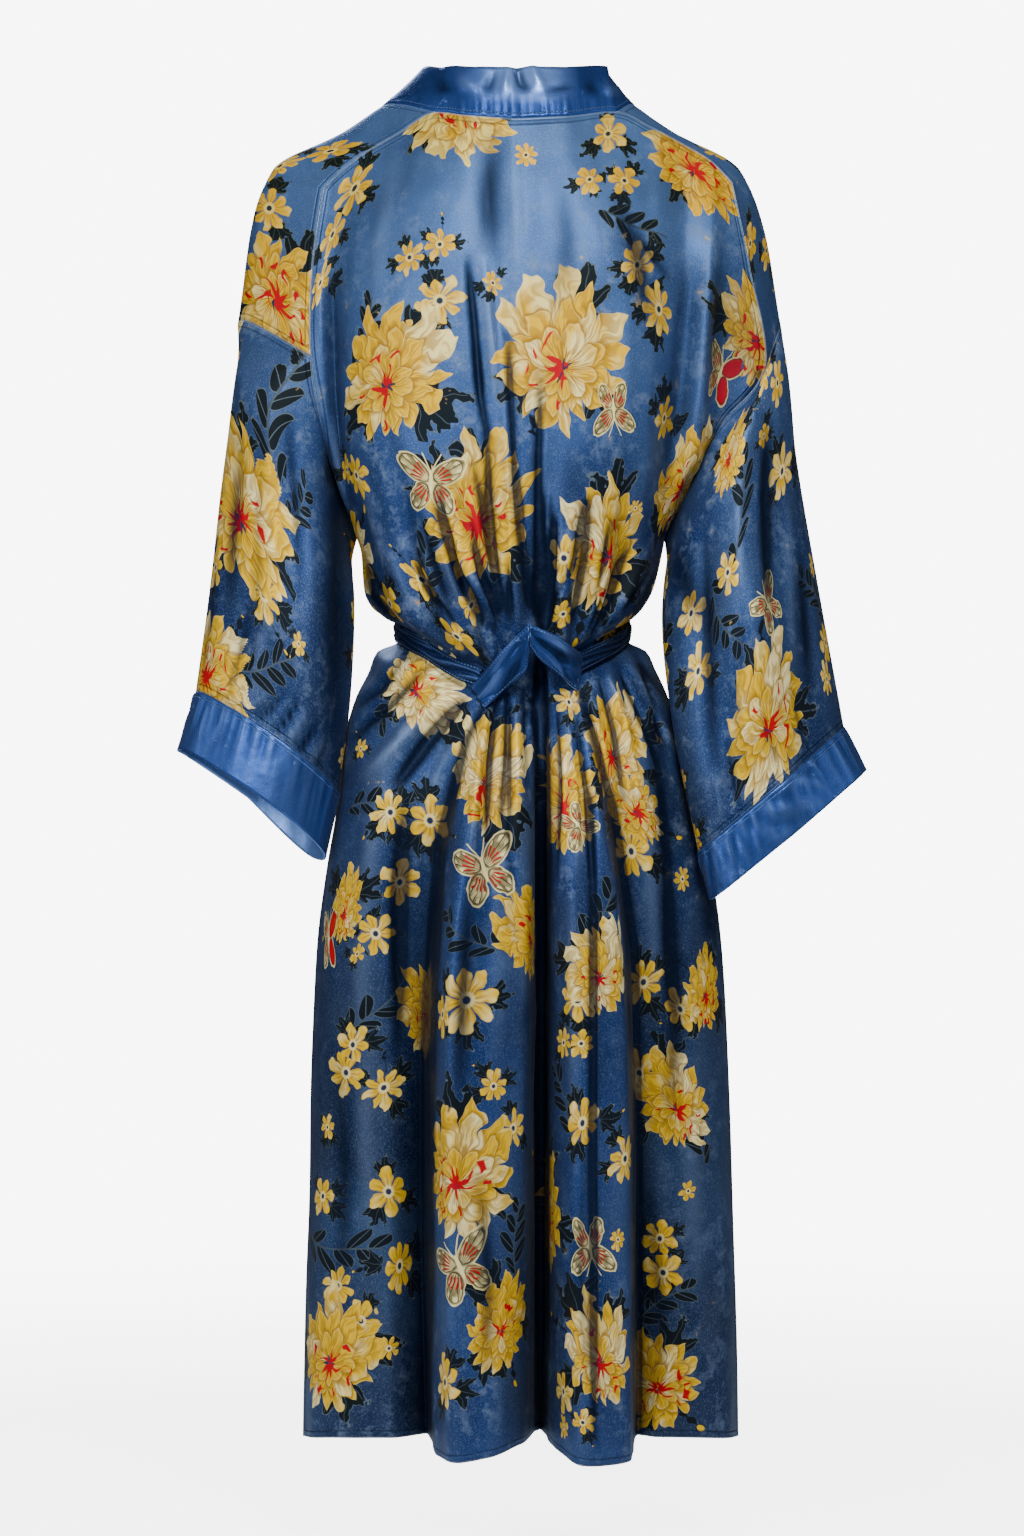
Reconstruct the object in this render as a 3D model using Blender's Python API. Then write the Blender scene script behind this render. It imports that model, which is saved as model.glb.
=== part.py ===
"""A satin kimono robe, worn and tied at the back, as hollow cloth walls.

Metres, +Z up. The wearer faces -Y, so the back of the robe faces +Y and the wearer's left is +X.
The origin is the middle of the neck at the height where the collar meets the shoulders.
"""

import math

import bpy
import numpy as np

# Cloth
CLOTH_THICK = 0.0015
BAND_THICK = 0.0024
SEAM_GAP = 0.0005
# A sleeve shares the body's normals while they differ by less than the first cosine
SHARED_COSINE = 0.45
OWN_COSINE = -0.05
MM = 0.001

# Levels down the body
ARMPIT_Z = -0.375
BELT_Z = -0.459
HEM_Z = -1.1685
BELT_DIP = 0.060
BELT_DIP_POWER = 1.05
BELT_DIP_SOFT = 0.15
# It sags further on its way to the tie from the wearer's left, between four places across the back
BELT_SAG = 0.009
BELT_SAG_SHARES = (0.70, 0.44, 0.15, -0.12)
# The cloth follows the belt's dip from the first level down, wholly between the next two
DIP_LEVELS = (-0.255, -0.440, -0.478, -0.760)
# The gathers above the belt fade in over the first two levels and out over the last two
GATHER_LEVELS = (-0.444, -0.426, -0.400, -0.300)
# At this level the belt sets where each fold lies round the body
HELD_Z = -0.452
# The skirt's folds begin here, and its hem line starts to rise and fall at the second level
SKIRT_FOLD_TOP_Z = -0.440
HEM_RISE_TOP_Z = -0.850

# Front overlap: the wearer's left front lies over the right one, which lies that much inside.
# It comes in between two angles past the side seam.
LAP_OFFSET = 0.0034
LAP_FROM_DEG = 15.0
LAP_FULL_DEG = 42.0

# Rows and columns of the cloth grids. The neck edge reaches NECK_SHARE of the half width each way.
NECK_SHARE = 0.40
SHOULDER_ROWS = 13
CORNER_ROW = 6
FOLD_STEPS = 3
SIDE_STEPS = 2
SIDE_SHARE = 0.485
CORNER_DEG = 60.0
SLEEVE_ROW_SHARES = (0, 0.06, 0.13, 0.21, 0.30, 0.40, 0.50, 0.60, 0.70, 0.80, 0.90, 1.0)

# Sizes of the body at each level, in millimetres: half widths, and depths behind and before the middle
SECTION_COLUMNS = ("z", "left", "right", "back", "front")
SECTIONS = [
    (-375, 137, 134, 113, 104),
    (-390, 132, 131, 109, 103),
    (-424, 129, 122, 100, 100),
    (-436, 124, 115, 92, 96),
    (-442, 118, 110, 85, 91),
    (-448, 99.5, 99.5, 82, 86),
    (-459, 99.5, 99.5, 82, 86),
    (-470, 99.5, 99.5, 82, 86),
    (-479, 118, 117, 91, 93),
    (-497, 126, 126, 103, 98),
    (-520, 138, 137, 114, 104),
    (-552, 147, 147, 125, 109),
    (-600, 152, 157, 135, 113),
    (-670, 163, 174, 141, 117),
    (-740, 171, 183, 144, 120),
    (-850, 176, 190, 146, 124),
    (-955, 179, 193, 147, 127),
    (-1060, 182, 196, 149, 130),
    (-1168.5, 183, 198, 151, 133),
]

# Rows of the body below the armpits, in millimetres
BODY_LEVELS = (
    -375, -388, -403, -418, -430, -438, -443, -448, -459, -470, -476, -487, -503,
    -523, -549, -583, -626, -680, -740, -800, -860, -920, -985, -1050, -1110, -1168.5,
)

# The back's fold lines from the wearer's left side seam to the right one.
# share: place across the flat panel. angle: place round the body above the belt. pleat: fold depth
# above the belt, mm. The pairs are x and y in hundredths of the half width and of the back depth.
# rise: how much higher than the side seam the hem hangs, mm.
FOLD_COLUMNS = ("share", "angle", "pleat", "belt", "hip", "thigh", "hem", "rise")
FOLDS = [
    (1.00, 90, 0, (100, 0), (100, 0), (100, 0), (100, 0), 0),
    (0.88, 77, 1, (95, 30), (96, 34), (95, 24), (95, 20), 3),
    (0.74, 61, 2, (82, 57), (84, 57), (82, 42), (79, 33), 6),
    (0.60, 47, 6, (64, 76), (64, 73), (61, 49), (58, 34), 6),
    (0.49, 38, -4, (44, 86), (42, 78), (45, 38), (41, 17), 6),
    (0.40, 31, 5, (29, 95), (29, 93), (38, 77), (35, 68), 0),
    (0.25, 21, -4, (18, 98), (20, 102), (27, 100), (25, 99), 0),
    (0.16, 14, 5, (10, 97), (10, 95), (12, 96), (11, 97), 4),
    (0.08, 8, -3, (0, 98), (-3, 94), (-5, 84), (-4, 76), 11),
    (-0.02, -2, 3, (-20, 89), (-16, 70), (-13, 42), (-12, 26), 12),
    (-0.12, -11, -7, (-28, 95), (-22, 92), (-20, 84), (-19, 74), 6),
    (-0.20, -19, 5, (-35, 93), (-29, 101), (-31, 100), (-30, 101), -2),
    (-0.27, -26, -3, (-42, 90), (-36, 97), (-40, 97), (-38, 97), -3),
    (-0.40, -36, 5, (-51, 85), (-46, 92), (-51, 86), (-50, 84), -2),
    (-0.49, -44, -5, (-60, 79), (-53, 78), (-56, 45), (-55, 22), 6),
    (-0.60, -54, 4, (-72, 68), (-69, 70), (-67, 46), (-64, 31), 6),
    (-0.74, -66, 1, (-86, 50), (-86, 53), (-84, 39), (-82, 29), 5),
    (-0.88, -79, 0, (-96, 26), (-97, 29), (-96, 22), (-95, 17), 2),
    (-1.00, -90, 0, (-100, 0), (-100, 0), (-100, 0), (-100, 0), 0),
]
SHAPE_COLUMNS = ("belt", "hip", "thigh", "hem")
SHAPE_LEVELS = (BELT_Z, -0.560, -0.850, HEM_Z)

# The back over each shoulder, in millimetres: lines from the top edge down, by share across the panel.
# The last line is the edge: the shoulder seam as far as CORNER_ROW, then the armhole.
# The lines' points are at these places between the top edge and the armpits.
BACK_LINE_ROWS = (0.0, 0.25, 0.5, 0.75)
BACK_LINES = {
    "left": (
        (0.00, (0, 78, -21), (0, 103, -108), (0, 112, -205), (0, 117, -305)),
        (0.20, (36, 71, -18), (37, 103, -108), (40, 113, -204), (42, 118, -304)),
        (0.40, (66, 54, -12), (74, 96, -106), (80, 108, -203), (84, 112, -302)),
        (0.60, (100, 41, -29), (107, 80, -110), (114, 95, -202), (117, 96, -300)),
        (0.74, (124, 35, -42), (133, 62, -118), (140, 72, -203), (141, 70, -298)),
        (0.88, (146, 34, -58), (156, 46, -132), (156, 44, -206), (151, 43, -297)),
        (0.94, (156, 34, -67), (166, 47, -140), (166, 57, -212), (158, 48, -296)),
        (1.00, (164, 36, -76), (174, 48, -148), (174.7, 56, -224), (164, 46, -291)),
    ),
    "right": (
        (0.00, (0, 78, -21), (0, 103, -108), (0, 112, -205), (0, 117, -305)),
        (0.20, (44, 69, -18), (42, 103, -108), (43, 113, -204), (43, 118, -304)),
        (0.40, (90, 42, -9.5), (86, 94, -106), (86, 108, -203), (86, 112, -302)),
        (0.60, (120, 33, -22), (122, 78, -108), (120, 94, -202), (114, 98, -300)),
        (0.74, (148, 29, -36), (152, 66, -125), (148, 66, -205), (137, 62, -300)),
        (0.88, (172, 28, -50), (172, 66, -128), (166, 78, -208), (158, 72, -298)),
        (0.94, (182, 29, -60), (184, 52, -132), (177, 51, -214), (168, 56, -296)),
        (1.00, (191, 31, -70), (206, 46, -145), (219, 47, -235), (176, 50, -290)),
    ),
}

# The front over each shoulder: points from the neck edge to the armhole, on rows from the seam down,
# in millimetres. FRONT_SHARES are their places along the shoulder seam.
FRONT_ROWS = (0.0, 0.2, 0.45, 0.72)
FRONT_SHARES = (0.0, 0.20, 0.38, 0.68, 1.0)
FRONT_SHOULDER = {
    "left": (
        ((114, 0, 1), (147, -2, -21), (208, 2, -54), (225, 8, -106), (232, 22, -190)),
        ((103, -55, -58), (134, -58, -66), (194, -42, -84), (221, -36, -140), (237, -24, -206)),
        ((76, -94, -168), (110, -92, -172), (152, -70, -180), (192, -61, -206), (204, -55, -264)),
    ),
    "right": (
        ((108, 0, 0), (137, -2, -21), (200, 0, -56), (220, 4, -106), (233, 16, -196)),
        ((103, -55, -58), (133, -58, -66), (188, -42, -84), (219, -38, -140), (235, -28, -212)),
        ((76, -94, -168), (110, -92, -172), (152, -70, -180), (193, -61, -206), (204, -54, -268)),
    ),
}

# The front edge where the collar band is sewn on, and the band's free edge, as degrees past the side
EDGE_LEVELS = (-0.375, -0.459, -0.600, HEM_Z)
SEAM_ANGLES = (76.0, 90.0, 97.0, 101.0)
FREE_ANGLES = (98.0, 119.0, 118.0, 118.0)
# The collar band's free edge above the armpits, in millimetres from its seam, on the front's rows
BAND_REACH = ((-8, -20, 42), (-33, -4, 30), (-37, -12, 16), (-46, -9, -2))
BAND_BACK_REACH = (0, -23, 48)

# Its middle line behind the neck stands out by this, and it leans over by a power of the share
BAND_NECK_BULGE = (0, 2, 0)
BAND_LEAN_POWER = 1.5

# Soft folds down the plain front: waves in a full turn, their depth at the hem, the level where they
# begin and the angle past the side seam where they are full
FRONT_WAVES = 5
FRONT_WAVE_DEPTH = 0.009
FRONT_WAVE_TOP_Z = -0.50
FRONT_WAVE_FULL_DEG = 25.0

# Rings down each sleeve, in millimetres: share is the place down it, outer and inner are where the
# ring is furthest from and nearest to the body, behind and before are its depths each side of their
# line, lift raises its back and drop lowers its front.
RING_COLUMNS = ("share", "outer", "inner", "behind", "before", "lift", "drop")
SLEEVES = {
    "left": (
        (0.12, (241, 19, -230), (142, 5, -398), 51, 62, 20, 0),
        (0.30, (251, 6, -305), (140, 8, -432), 59, 62, 8, 4),
        (0.65, (262, 12, -410), (143, 22, -522), 62, 62, 10, 2),
        (1.00, (276, 20, -517), (152, 35, -603), 52, 52, 13, 4),
    ),
    "right": (
        (0.12, (240, 12, -234), (136, 12, -400), 55, 62, 11, 0),
        (0.30, (249, 6, -305), (131, 32, -444), 60, 64, 4, 0),
        (0.65, (266, 14, -415), (139, 54, -540), 66, 66, 2, -2),
        (1.00, (288, 26, -545), (161, 76, -652), 52, 52, 0, -2),
    ),
}
CUFFS = {
    "left": (1.0, (292, 22, -567), (163, 40, -657), 49, 49, 13, 10),
    "right": (1.0, (308, 28, -583), (171, 82, -694), 50, 50, 0, -4),
}
# Long soft folds down each sleeve: place round it in degrees, half width in degrees, depth in mm
SLEEVE_FOLDS = {
    "left": ((118, 20, 9), (60, 22, -5), (25, 16, 4), (235, 24, 7), (300, 26, -5)),
    "right": ((122, 20, -9), (88, 18, 9), (50, 20, -6), (235, 24, 7), (300, 26, -5)),
}
# They grow between two places down the sleeve, lose this share between two more, and at the cuff's
# edge this much of them is left
FOLD_GROWS = (0.05, 0.45)
FOLD_EASES = (0.70, 1.00)
FOLD_EASE = 0.45
CUFF_FOLD = 0.40
CUFF_ROWS = 4

# Belt and its tie at the back
BELT_CLEARANCE = 0.0032
# It stands further out over the lapped fronts, coming in between two sines of its angle
BELT_OVER_LAP = (0.05, 0.45)
# It widens towards the tie between two distances from the side seams, as shares of the half back
BELT_WIDENS = (0.3, 0.9)
BELT_HALF_HEIGHT = 0.0080
BELT_END_HALF_HEIGHT = 0.0095
BELT_POINTS = 64
# Its crown stands out from its edges by these factors, across and in depth
BELT_CROWN_X = 1.006
BELT_CROWN_Y = 1.012
# Its ends lie under the tie, this far from the centre back
BELT_LEFT_END_DEG = 15.0
BELT_RIGHT_END_DEG = 33.0
# Each arm of the tie from its tucked lower end to the peak, in millimetres: the upper and lower edges
TIE_ARMS = {
    "tie_left": (
        ((34.8, 82.5, -510.5), (31.8, 84.8, -516.5), (27.9, 90, -523), (24.5, 94.6, -529.5)),
        ((20.2, 99, -493.5), (16.7, 98, -501), (12.4, 97, -508.5), (8.1, 96, -515.5)),
        ((9, 106, -480), (4.7, 105, -488.5), (0.4, 102, -497), (-3.9, 101.5, -504.5)),
        ((-2.1, 109, -469.5), (-5.6, 108.5, -478), (-9, 107.5, -487.5), (-12, 106, -496)),
        ((-14.1, 112, -458), (-14.1, 112.5, -464.5), (-14.1, 112, -471.5), (-14.1, 110, -478.5)),
    ),
    "tie_right": (
        ((-15.2, 112, -458.5), (-15.2, 112.5, -464.5), (-15.2, 112, -470.5), (-15.2, 110, -477)),
        ((-27.8, 110, -463.5), (-26.9, 110, -472), (-25.2, 108, -480), (-23.5, 105, -488)),
        ((-39.4, 105, -468.5), (-38.9, 104, -478), (-37.7, 101, -488.5), (-36.4, 97, -498)),
        ((-48.9, 95, -475.5), (-49.8, 93, -484.5), (-48.5, 90.5, -496), (-46.4, 89, -506.5)),
        ((-56.9, 73.6, -481), (-59.5, 73.5, -489), (-57.3, 76.5, -501.5), (-55.5, 83.4, -513.5)),
    ),
}
TIE_ROWS = 14
TIE_COLUMNS = 7

PLAIN_BLUE = (0.035, 0.10, 0.30)
PLAIN_ROUGHNESS = 0.38
PRINT_BLUE = (0.045, 0.11, 0.26)
PRINT_ROUGHNESS = 0.45

# Grid points closer than this are one point of a seam
SAME_POINT = 1e-6


def clear_scene():
    for obj in list(bpy.data.objects):
        bpy.data.objects.remove(obj, do_unlink=True)


def through(knots, values, at):
    """A smooth curve through the values that never overshoots them, read at the given places."""
    knots = np.asarray(knots, float)
    values = np.asarray(values, float)
    if knots[0] > knots[-1]:
        knots = knots[::-1]
        values = values[::-1]
    at = np.clip(np.asarray(at, float), knots[0], knots[-1])
    gaps = np.diff(knots)
    flat = values.reshape(len(knots), -1)
    slopes = np.diff(flat, axis=0) / gaps[:, None]
    tangents = np.zeros_like(flat)
    tangents[0] = slopes[0]
    tangents[-1] = slopes[-1]
    before = slopes[:-1]
    after = slopes[1:]
    weight_a = (2 * gaps[1:] + gaps[:-1])[:, None]
    weight_b = (gaps[1:] + 2 * gaps[:-1])[:, None]
    same = before * after > 0
    safe_before = np.where(same, before, 1.0)
    safe_after = np.where(same, after, 1.0)
    mean = (weight_a + weight_b) / (weight_a / safe_before + weight_b / safe_after)
    tangents[1:-1] = np.where(same, mean, 0.0)
    place = np.clip(np.searchsorted(knots, at, side="right") - 1, 0, len(gaps) - 1)
    step = gaps[place][..., None]
    t = ((at - knots[place]) / gaps[place])[..., None]
    start = flat[place]
    end = flat[place + 1]
    result = (
        start * (2 * t**3 - 3 * t**2 + 1)
        + tangents[place] * step * (t**3 - 2 * t**2 + t)
        + end * (3 * t**2 - 2 * t**3)
        + tangents[place + 1] * step * (t**3 - t**2)
    )
    return result.reshape(at.shape + values.shape[1:])


def ramp(value, low, high):
    """0 at low, 1 at high, smooth in between."""
    t = np.clip((np.asarray(value, float) - low) / (high - low), 0, 1)
    return t * t * (3 - 2 * t)


def between(value, places):
    """0 up to the first of four places, 1 between the next two, 0 past the last."""
    return ramp(value, places[0], places[1]) * (1 - ramp(value, places[2], places[3]))


def section_size(column, z):
    """A size of the body at a level, in metres."""
    table = np.array(SECTIONS, float) * MM
    return through(table[:, 0], table[:, SECTION_COLUMNS.index(column)], z)


def fold_column(name):
    """One column of the fold table."""
    return np.array([row[FOLD_COLUMNS.index(name)] for row in FOLDS], float)


def back_shares():
    """The columns of the back, from the left side seam to the right."""
    shares = fold_column("share")
    columns = []
    for first, second in zip(shares[:-1], shares[1:]):
        inner = min(abs(first), abs(second))
        steps = FOLD_STEPS if inner < SIDE_SHARE else SIDE_STEPS
        for step in range(steps):
            columns.append(first + (second - first) * step / steps)
    return np.array(columns + [shares[-1]])


def belt_dip(share):
    """How far the belt and the cloth it holds hang lower behind than at the sides."""
    away = np.sqrt((share**2 + BELT_DIP_SOFT**2) / (1 + BELT_DIP_SOFT**2))
    sag = BELT_SAG * between(share, BELT_SAG_SHARES)
    return BELT_DIP * np.clip(1 - away, 0, 1) ** BELT_DIP_POWER + sag


def belt_angles():
    """Degrees from the centre back of each fold line where the belt holds it."""
    across, behind = fold_column("belt").T
    return np.degrees(np.arctan2(across, behind))


def round_back(share, z):
    """Points of the back before its skirt folds form: the round of the body at a level."""
    shares = fold_column("share")
    loose = through(shares, fold_column("angle"), share)
    held = through(shares, belt_angles(), share)
    angle = np.radians(held + (loose - held) * ramp(z, HELD_Z, ARMPIT_Z))
    side = np.where(share >= 0, section_size("left", z), section_size("right", z))
    depth = section_size("back", z)
    pleat = through(shares, fold_column("pleat"), share) * MM
    reach = 1 + pleat * between(z, GATHER_LEVELS) / depth
    return side * np.sin(angle) * reach, depth * np.cos(angle) * reach


def back_lower(share, level):
    """The mid-surface of the back from the armpits to the hem, for a column and a level."""
    shares = fold_column("share")
    side = np.where(share >= 0, section_size("left", level), section_size("right", level))
    depth = section_size("back", level)
    round_x, round_y = round_back(share, level)
    shapes = [fold_column(name) / 100 for name in SHAPE_COLUMNS]
    across = np.stack([through(shares, shape, share) for shape in shapes])
    down = np.array(SHAPE_LEVELS)
    fold = np.empty(share.shape + (2,))
    for index in np.ndindex(share.shape):
        fold[index] = through(down, across[(slice(None),) + index], np.array([level[index]]))[0]
    fold_x = side * fold[..., 0]
    fold_y = depth * fold[..., 1]
    mix = 1 - ramp(level, BELT_Z, SKIRT_FOLD_TOP_Z)
    x = round_x + (fold_x - round_x) * mix
    y = round_y + (fold_y - round_y) * mix
    rise = through(shares, fold_column("rise"), share) * MM * ramp(level, HEM_RISE_TOP_Z, HEM_Z)
    z = level - belt_dip(share) * between(level, DIP_LEVELS) + rise
    return np.stack([x, y, z], axis=-1)


def back_upper(side, share, row):
    """The mid-surface of the back over one shoulder, for shares 0 to 1 and rows 0 to 1."""
    sign = 1 if side == "left" else -1
    lines = BACK_LINES[side]
    line_shares = [line[0] for line in lines]
    table = np.array([line[1:] for line in lines], float) * MM
    table[..., 0] *= sign
    armpit = back_lower(sign * share, np.full(share.shape, ARMPIT_Z))
    across = [through(line_shares, table[:, k], share) for k in range(len(BACK_LINE_ROWS))]
    rows = np.concatenate([BACK_LINE_ROWS, [1.0]])
    return column_curves(rows, np.stack(across + [armpit]), row)


def column_curves(rows, stack, row):
    """Each column's curve through the stacked lines, read at the rows."""
    points = np.empty((len(row), stack.shape[1], 3))
    for column in range(stack.shape[1]):
        points[:, column] = rounded(rows, stack[:, column], row)
    return points


def rounded(knots, values, at):
    """A Catmull-Rom curve through points, which may swell past them between knots."""
    knots = np.asarray(knots, float)
    slopes = np.diff(values, axis=0) / np.diff(knots)[:, None]
    tangents = np.empty_like(values)
    tangents[0] = slopes[0]
    tangents[-1] = slopes[-1]
    gaps = np.diff(knots)[:, None]
    tangents[1:-1] = (slopes[:-1] * gaps[1:] + slopes[1:] * gaps[:-1]) / (gaps[1:] + gaps[:-1])
    place = np.clip(np.searchsorted(knots, at, side="right") - 1, 0, len(knots) - 2)
    step = np.diff(knots)[place][:, None]
    t = ((at - knots[place]) / np.diff(knots)[place])[:, None]
    return (
        values[place] * (2 * t**3 - 3 * t**2 + 1)
        + tangents[place] * step * (t**3 - 2 * t**2 + t)
        + values[place + 1] * (3 * t**2 - 2 * t**3)
        + tangents[place + 1] * step * (t**3 - t**2)
    )


def front_point(side, angle, z, lap):
    """A point of the front, by degrees past the side seam: 90 is the centre front.

    lap is 1 on the front that lies outside where they cross, and -1 on the other.
    """
    sign = 1 if side == "left" else -1
    angle = np.asarray(angle, float)
    z = np.asarray(z, float)
    own = section_size(side, z)
    other = section_size("right" if side == "left" else "left", z)
    half = np.where(angle <= 90, own, other)
    deep = section_size("front", z)
    swell = FRONT_WAVE_DEPTH * ramp(z, FRONT_WAVE_TOP_Z, HEM_Z) * ramp(angle, 0, FRONT_WAVE_FULL_DEG)
    wave = swell * np.sin(FRONT_WAVES * np.radians(angle))
    push = lap * LAP_OFFSET * ramp(angle, LAP_FROM_DEG, LAP_FULL_DEG) + wave
    x = sign * (half + push) * np.cos(np.radians(angle))
    y = -(deep + push) * np.sin(np.radians(angle))
    return np.stack(np.broadcast_arrays(x, y, z), axis=-1)


def edge_angle(angles, z):
    """An edge's degrees past the side seam at a level."""
    return through(EDGE_LEVELS, angles, z)


def front_lower(side, share, level):
    """The mid-surface of a front below the armpits: share 0 is the neck edge, 1 the side seam."""
    lap = 1 if side == "left" else -1
    angle = edge_angle(SEAM_ANGLES, level) * (1 - share)
    return front_point(side, angle, level, lap)


def front_upper(side, seam, share, row):
    """The mid-surface of a front over its shoulder, from the shoulder seam to the armpits."""
    sign = 1 if side == "left" else -1
    table = np.array(FRONT_SHOULDER[side], float) * MM
    table[..., 0] *= sign
    lines = [seam] + [through(FRONT_SHARES, line, share) for line in table]
    lines.append(front_lower(side, share, np.full(share.shape, ARMPIT_Z)))
    rows = np.concatenate([FRONT_ROWS, [1.0]])
    return column_curves(rows, np.stack(lines), row)


def shoulder_seam(side, back):
    """The shoulder seam's points from the collar to the armhole's corner, taken from the back."""
    shares = back_shares()
    if side == "right":
        back = back[:, ::-1]
        shares = -shares[::-1]
    top = back[0, shares > NECK_SHARE - 1e-6][::-1]
    return np.concatenate([top, back[1 : CORNER_ROW + 1, 0]])


def back_grid():
    """Rows from the neck and shoulder seams to the hem, columns from left to right."""
    shares = back_shares()
    row = np.linspace(0, 1, SHOULDER_ROWS)
    left = shares[shares >= 0]
    right = shares[shares < 0]
    upper = np.concatenate(
        [back_upper("left", left, row), back_upper("right", -right, row)], axis=1
    )
    levels = np.array(BODY_LEVELS[1:], float) * MM
    grid_share, grid_level = np.meshgrid(shares, levels)
    return np.concatenate([upper, back_lower(grid_share, grid_level)])


def front_grid(side, back):
    """Rows from the shoulder seam to the hem, columns from the neck edge to the armhole and side."""
    seam = shoulder_seam(side, back)
    steps = np.linalg.norm(np.diff(seam, axis=0), axis=1)
    share = np.concatenate([[0], np.cumsum(steps)]) / steps.sum()
    row = np.linspace(0, 1, SHOULDER_ROWS)
    upper = front_upper(side, seam, share, row)
    upper[0] = seam
    levels = np.array(BODY_LEVELS[1:], float) * MM
    grid_share, grid_level = np.meshgrid(share, levels)
    grid = np.concatenate([upper, front_lower(side, grid_share, grid_level)])
    side_seam = back[:, 0] if side == "left" else back[:, -1]
    grid[SHOULDER_ROWS - 1 :, -1] = side_seam[SHOULDER_ROWS - 1 :]
    return grid


def ring_points(side, row, angles):
    """A sleeve's ring at its own slant: 0 degrees is its outer side, 90 its back, 180 its inner side."""
    ring = dict(zip(RING_COLUMNS, row))
    outer = np.array(ring["outer"], float) * MM
    inner = np.array(ring["inner"], float) * MM
    middle = (outer + inner) / 2
    long_axis = (outer - inner) / 2
    cos = np.cos(angles)
    sin = np.sin(angles)
    deep = np.where(sin > 0, ring["behind"], ring["before"]) * MM
    points = middle + long_axis * cos[:, None]
    points[:, 1] += deep * sin
    front_inside = 2 * np.clip(-sin, 0, 1) * np.clip(0.1 - cos, 0, 1)
    points[:, 2] += ring["lift"] * MM * np.clip(sin, 0, 1) - ring["drop"] * MM * front_inside
    points[:, 0] *= 1 if side == "left" else -1
    return points


def fold_depth(side, angles):
    """How far each place round a sleeve is moved in or out by its long folds."""
    depth = np.zeros_like(angles)
    degrees = np.degrees(angles) % 360
    for place, width, size in SLEEVE_FOLDS[side]:
        away = (degrees - place + 180) % 360 - 180
        depth += size * MM * np.exp(-((away / width) ** 2))
    return depth


def sleeve_grid(side, armhole):
    """Rows from the armhole seam to the cuff seam, columns round the sleeve."""
    angles = ring_angles(len(armhole))
    rings = [armhole] + [ring_points(side, row, angles) for row in SLEEVES[side]]
    knots = [0.0] + [row[0] for row in SLEEVES[side]]
    row = np.array(SLEEVE_ROW_SHARES)
    grid = column_curves(np.array(knots), np.stack(rings), row)
    away = grid - grid.mean(axis=1, keepdims=True)
    away /= np.linalg.norm(away, axis=2, keepdims=True)
    grown = ramp(row, *FOLD_GROWS) * (1 - FOLD_EASE * ramp(row, *FOLD_EASES))
    return grid + away * fold_depth(side, angles)[None, :, None] * grown[:, None, None]


def ring_angles(count):
    """Angles round a sleeve, in radians, from the shoulder seam's corner behind to the front."""
    corner = math.radians(CORNER_DEG)
    back = SHOULDER_ROWS - 1 - CORNER_ROW
    to_under = np.linspace(corner, math.pi, back, endpoint=False)
    round_front = np.linspace(math.pi, 2 * math.pi + corner, count - back, endpoint=False)
    return np.concatenate([to_under, round_front])


def armhole_ring(back_edge, front_edge):
    """The closed armhole: down the back's edge to the underarm, then up the front's to the seam."""
    down = back_edge[CORNER_ROW : SHOULDER_ROWS - 1]
    up = front_edge[1:SHOULDER_ROWS][::-1]
    return np.concatenate([down, up])


def cuff_grid(side, seam_ring):
    """Rows from the sleeve's end to the cuff's open edge, columns round it."""
    angles = ring_angles(len(seam_ring))
    end = ring_points(side, CUFFS[side], angles)
    away = end - end.mean(axis=0)
    away /= np.linalg.norm(away, axis=1, keepdims=True)
    end = end + away * fold_depth(side, angles)[:, None] * CUFF_FOLD
    share = np.linspace(0, 1, CUFF_ROWS)[:, None, None]
    return seam_ring[None] * (1 - share) + end[None] * share


def band_front(side, front):
    """The collar band down one front: its seam edge is the front's own edge."""
    lap = 1 if side == "left" else -1
    seam = front[:, 0]
    free = np.empty_like(seam)
    upper_rows = np.linspace(0, 1, SHOULDER_ROWS)
    armpit_free = front_point(side, edge_angle(FREE_ANGLES, ARMPIT_Z), ARMPIT_Z, lap)
    reach = np.array(BAND_REACH, float) * MM
    reach[:, 0] *= lap
    reach = np.concatenate([reach, [armpit_free - seam[SHOULDER_ROWS - 1]]])
    knots = np.concatenate([FRONT_ROWS, [1.0]])
    free[:SHOULDER_ROWS] = seam[:SHOULDER_ROWS] + rounded(knots, reach, upper_rows)
    levels = seam[SHOULDER_ROWS:, 2]
    free[SHOULDER_ROWS:] = front_point(side, edge_angle(FREE_ANGLES, levels), levels, lap)
    middle_angles = (edge_angle(FREE_ANGLES, levels) + edge_angle(SEAM_ANGLES, levels)) / 2
    middle = (seam + free) / 2
    middle[SHOULDER_ROWS:] = front_point(side, middle_angles, levels, lap)
    return seam, middle, free


def collar_grid(back, fronts):
    """One band from the left hem up the left front, round the neck and down to the right hem."""
    left = band_front("left", fronts["left"])
    right = band_front("right", fronts["right"])
    shares = back_shares()
    inside = np.abs(shares) < NECK_SHARE - 1e-6
    neck = back[0, inside]
    lean = np.abs(shares[inside]) / NECK_SHARE
    sign = np.sign(shares[inside])
    centre = np.array(BAND_BACK_REACH, float) * MM
    side = np.array(BAND_REACH[0], float) * MM
    reach = centre + (side - centre) * (lean**BAND_LEAN_POWER)[:, None]
    reach[:, 0] = side[0] * lean * sign
    neck_free = neck + reach
    neck_middle = (neck + neck_free) / 2 + np.array(BAND_NECK_BULGE) * MM
    round_neck = (neck, neck_middle, neck_free)
    lines = [np.concatenate([l[::-1], n, r]) for l, n, r in zip(left, round_neck, right)]
    return np.stack(lines, axis=1)


def belt_height(share):
    """The belt's level at a place across the back."""
    return BELT_Z - belt_dip(share)


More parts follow.
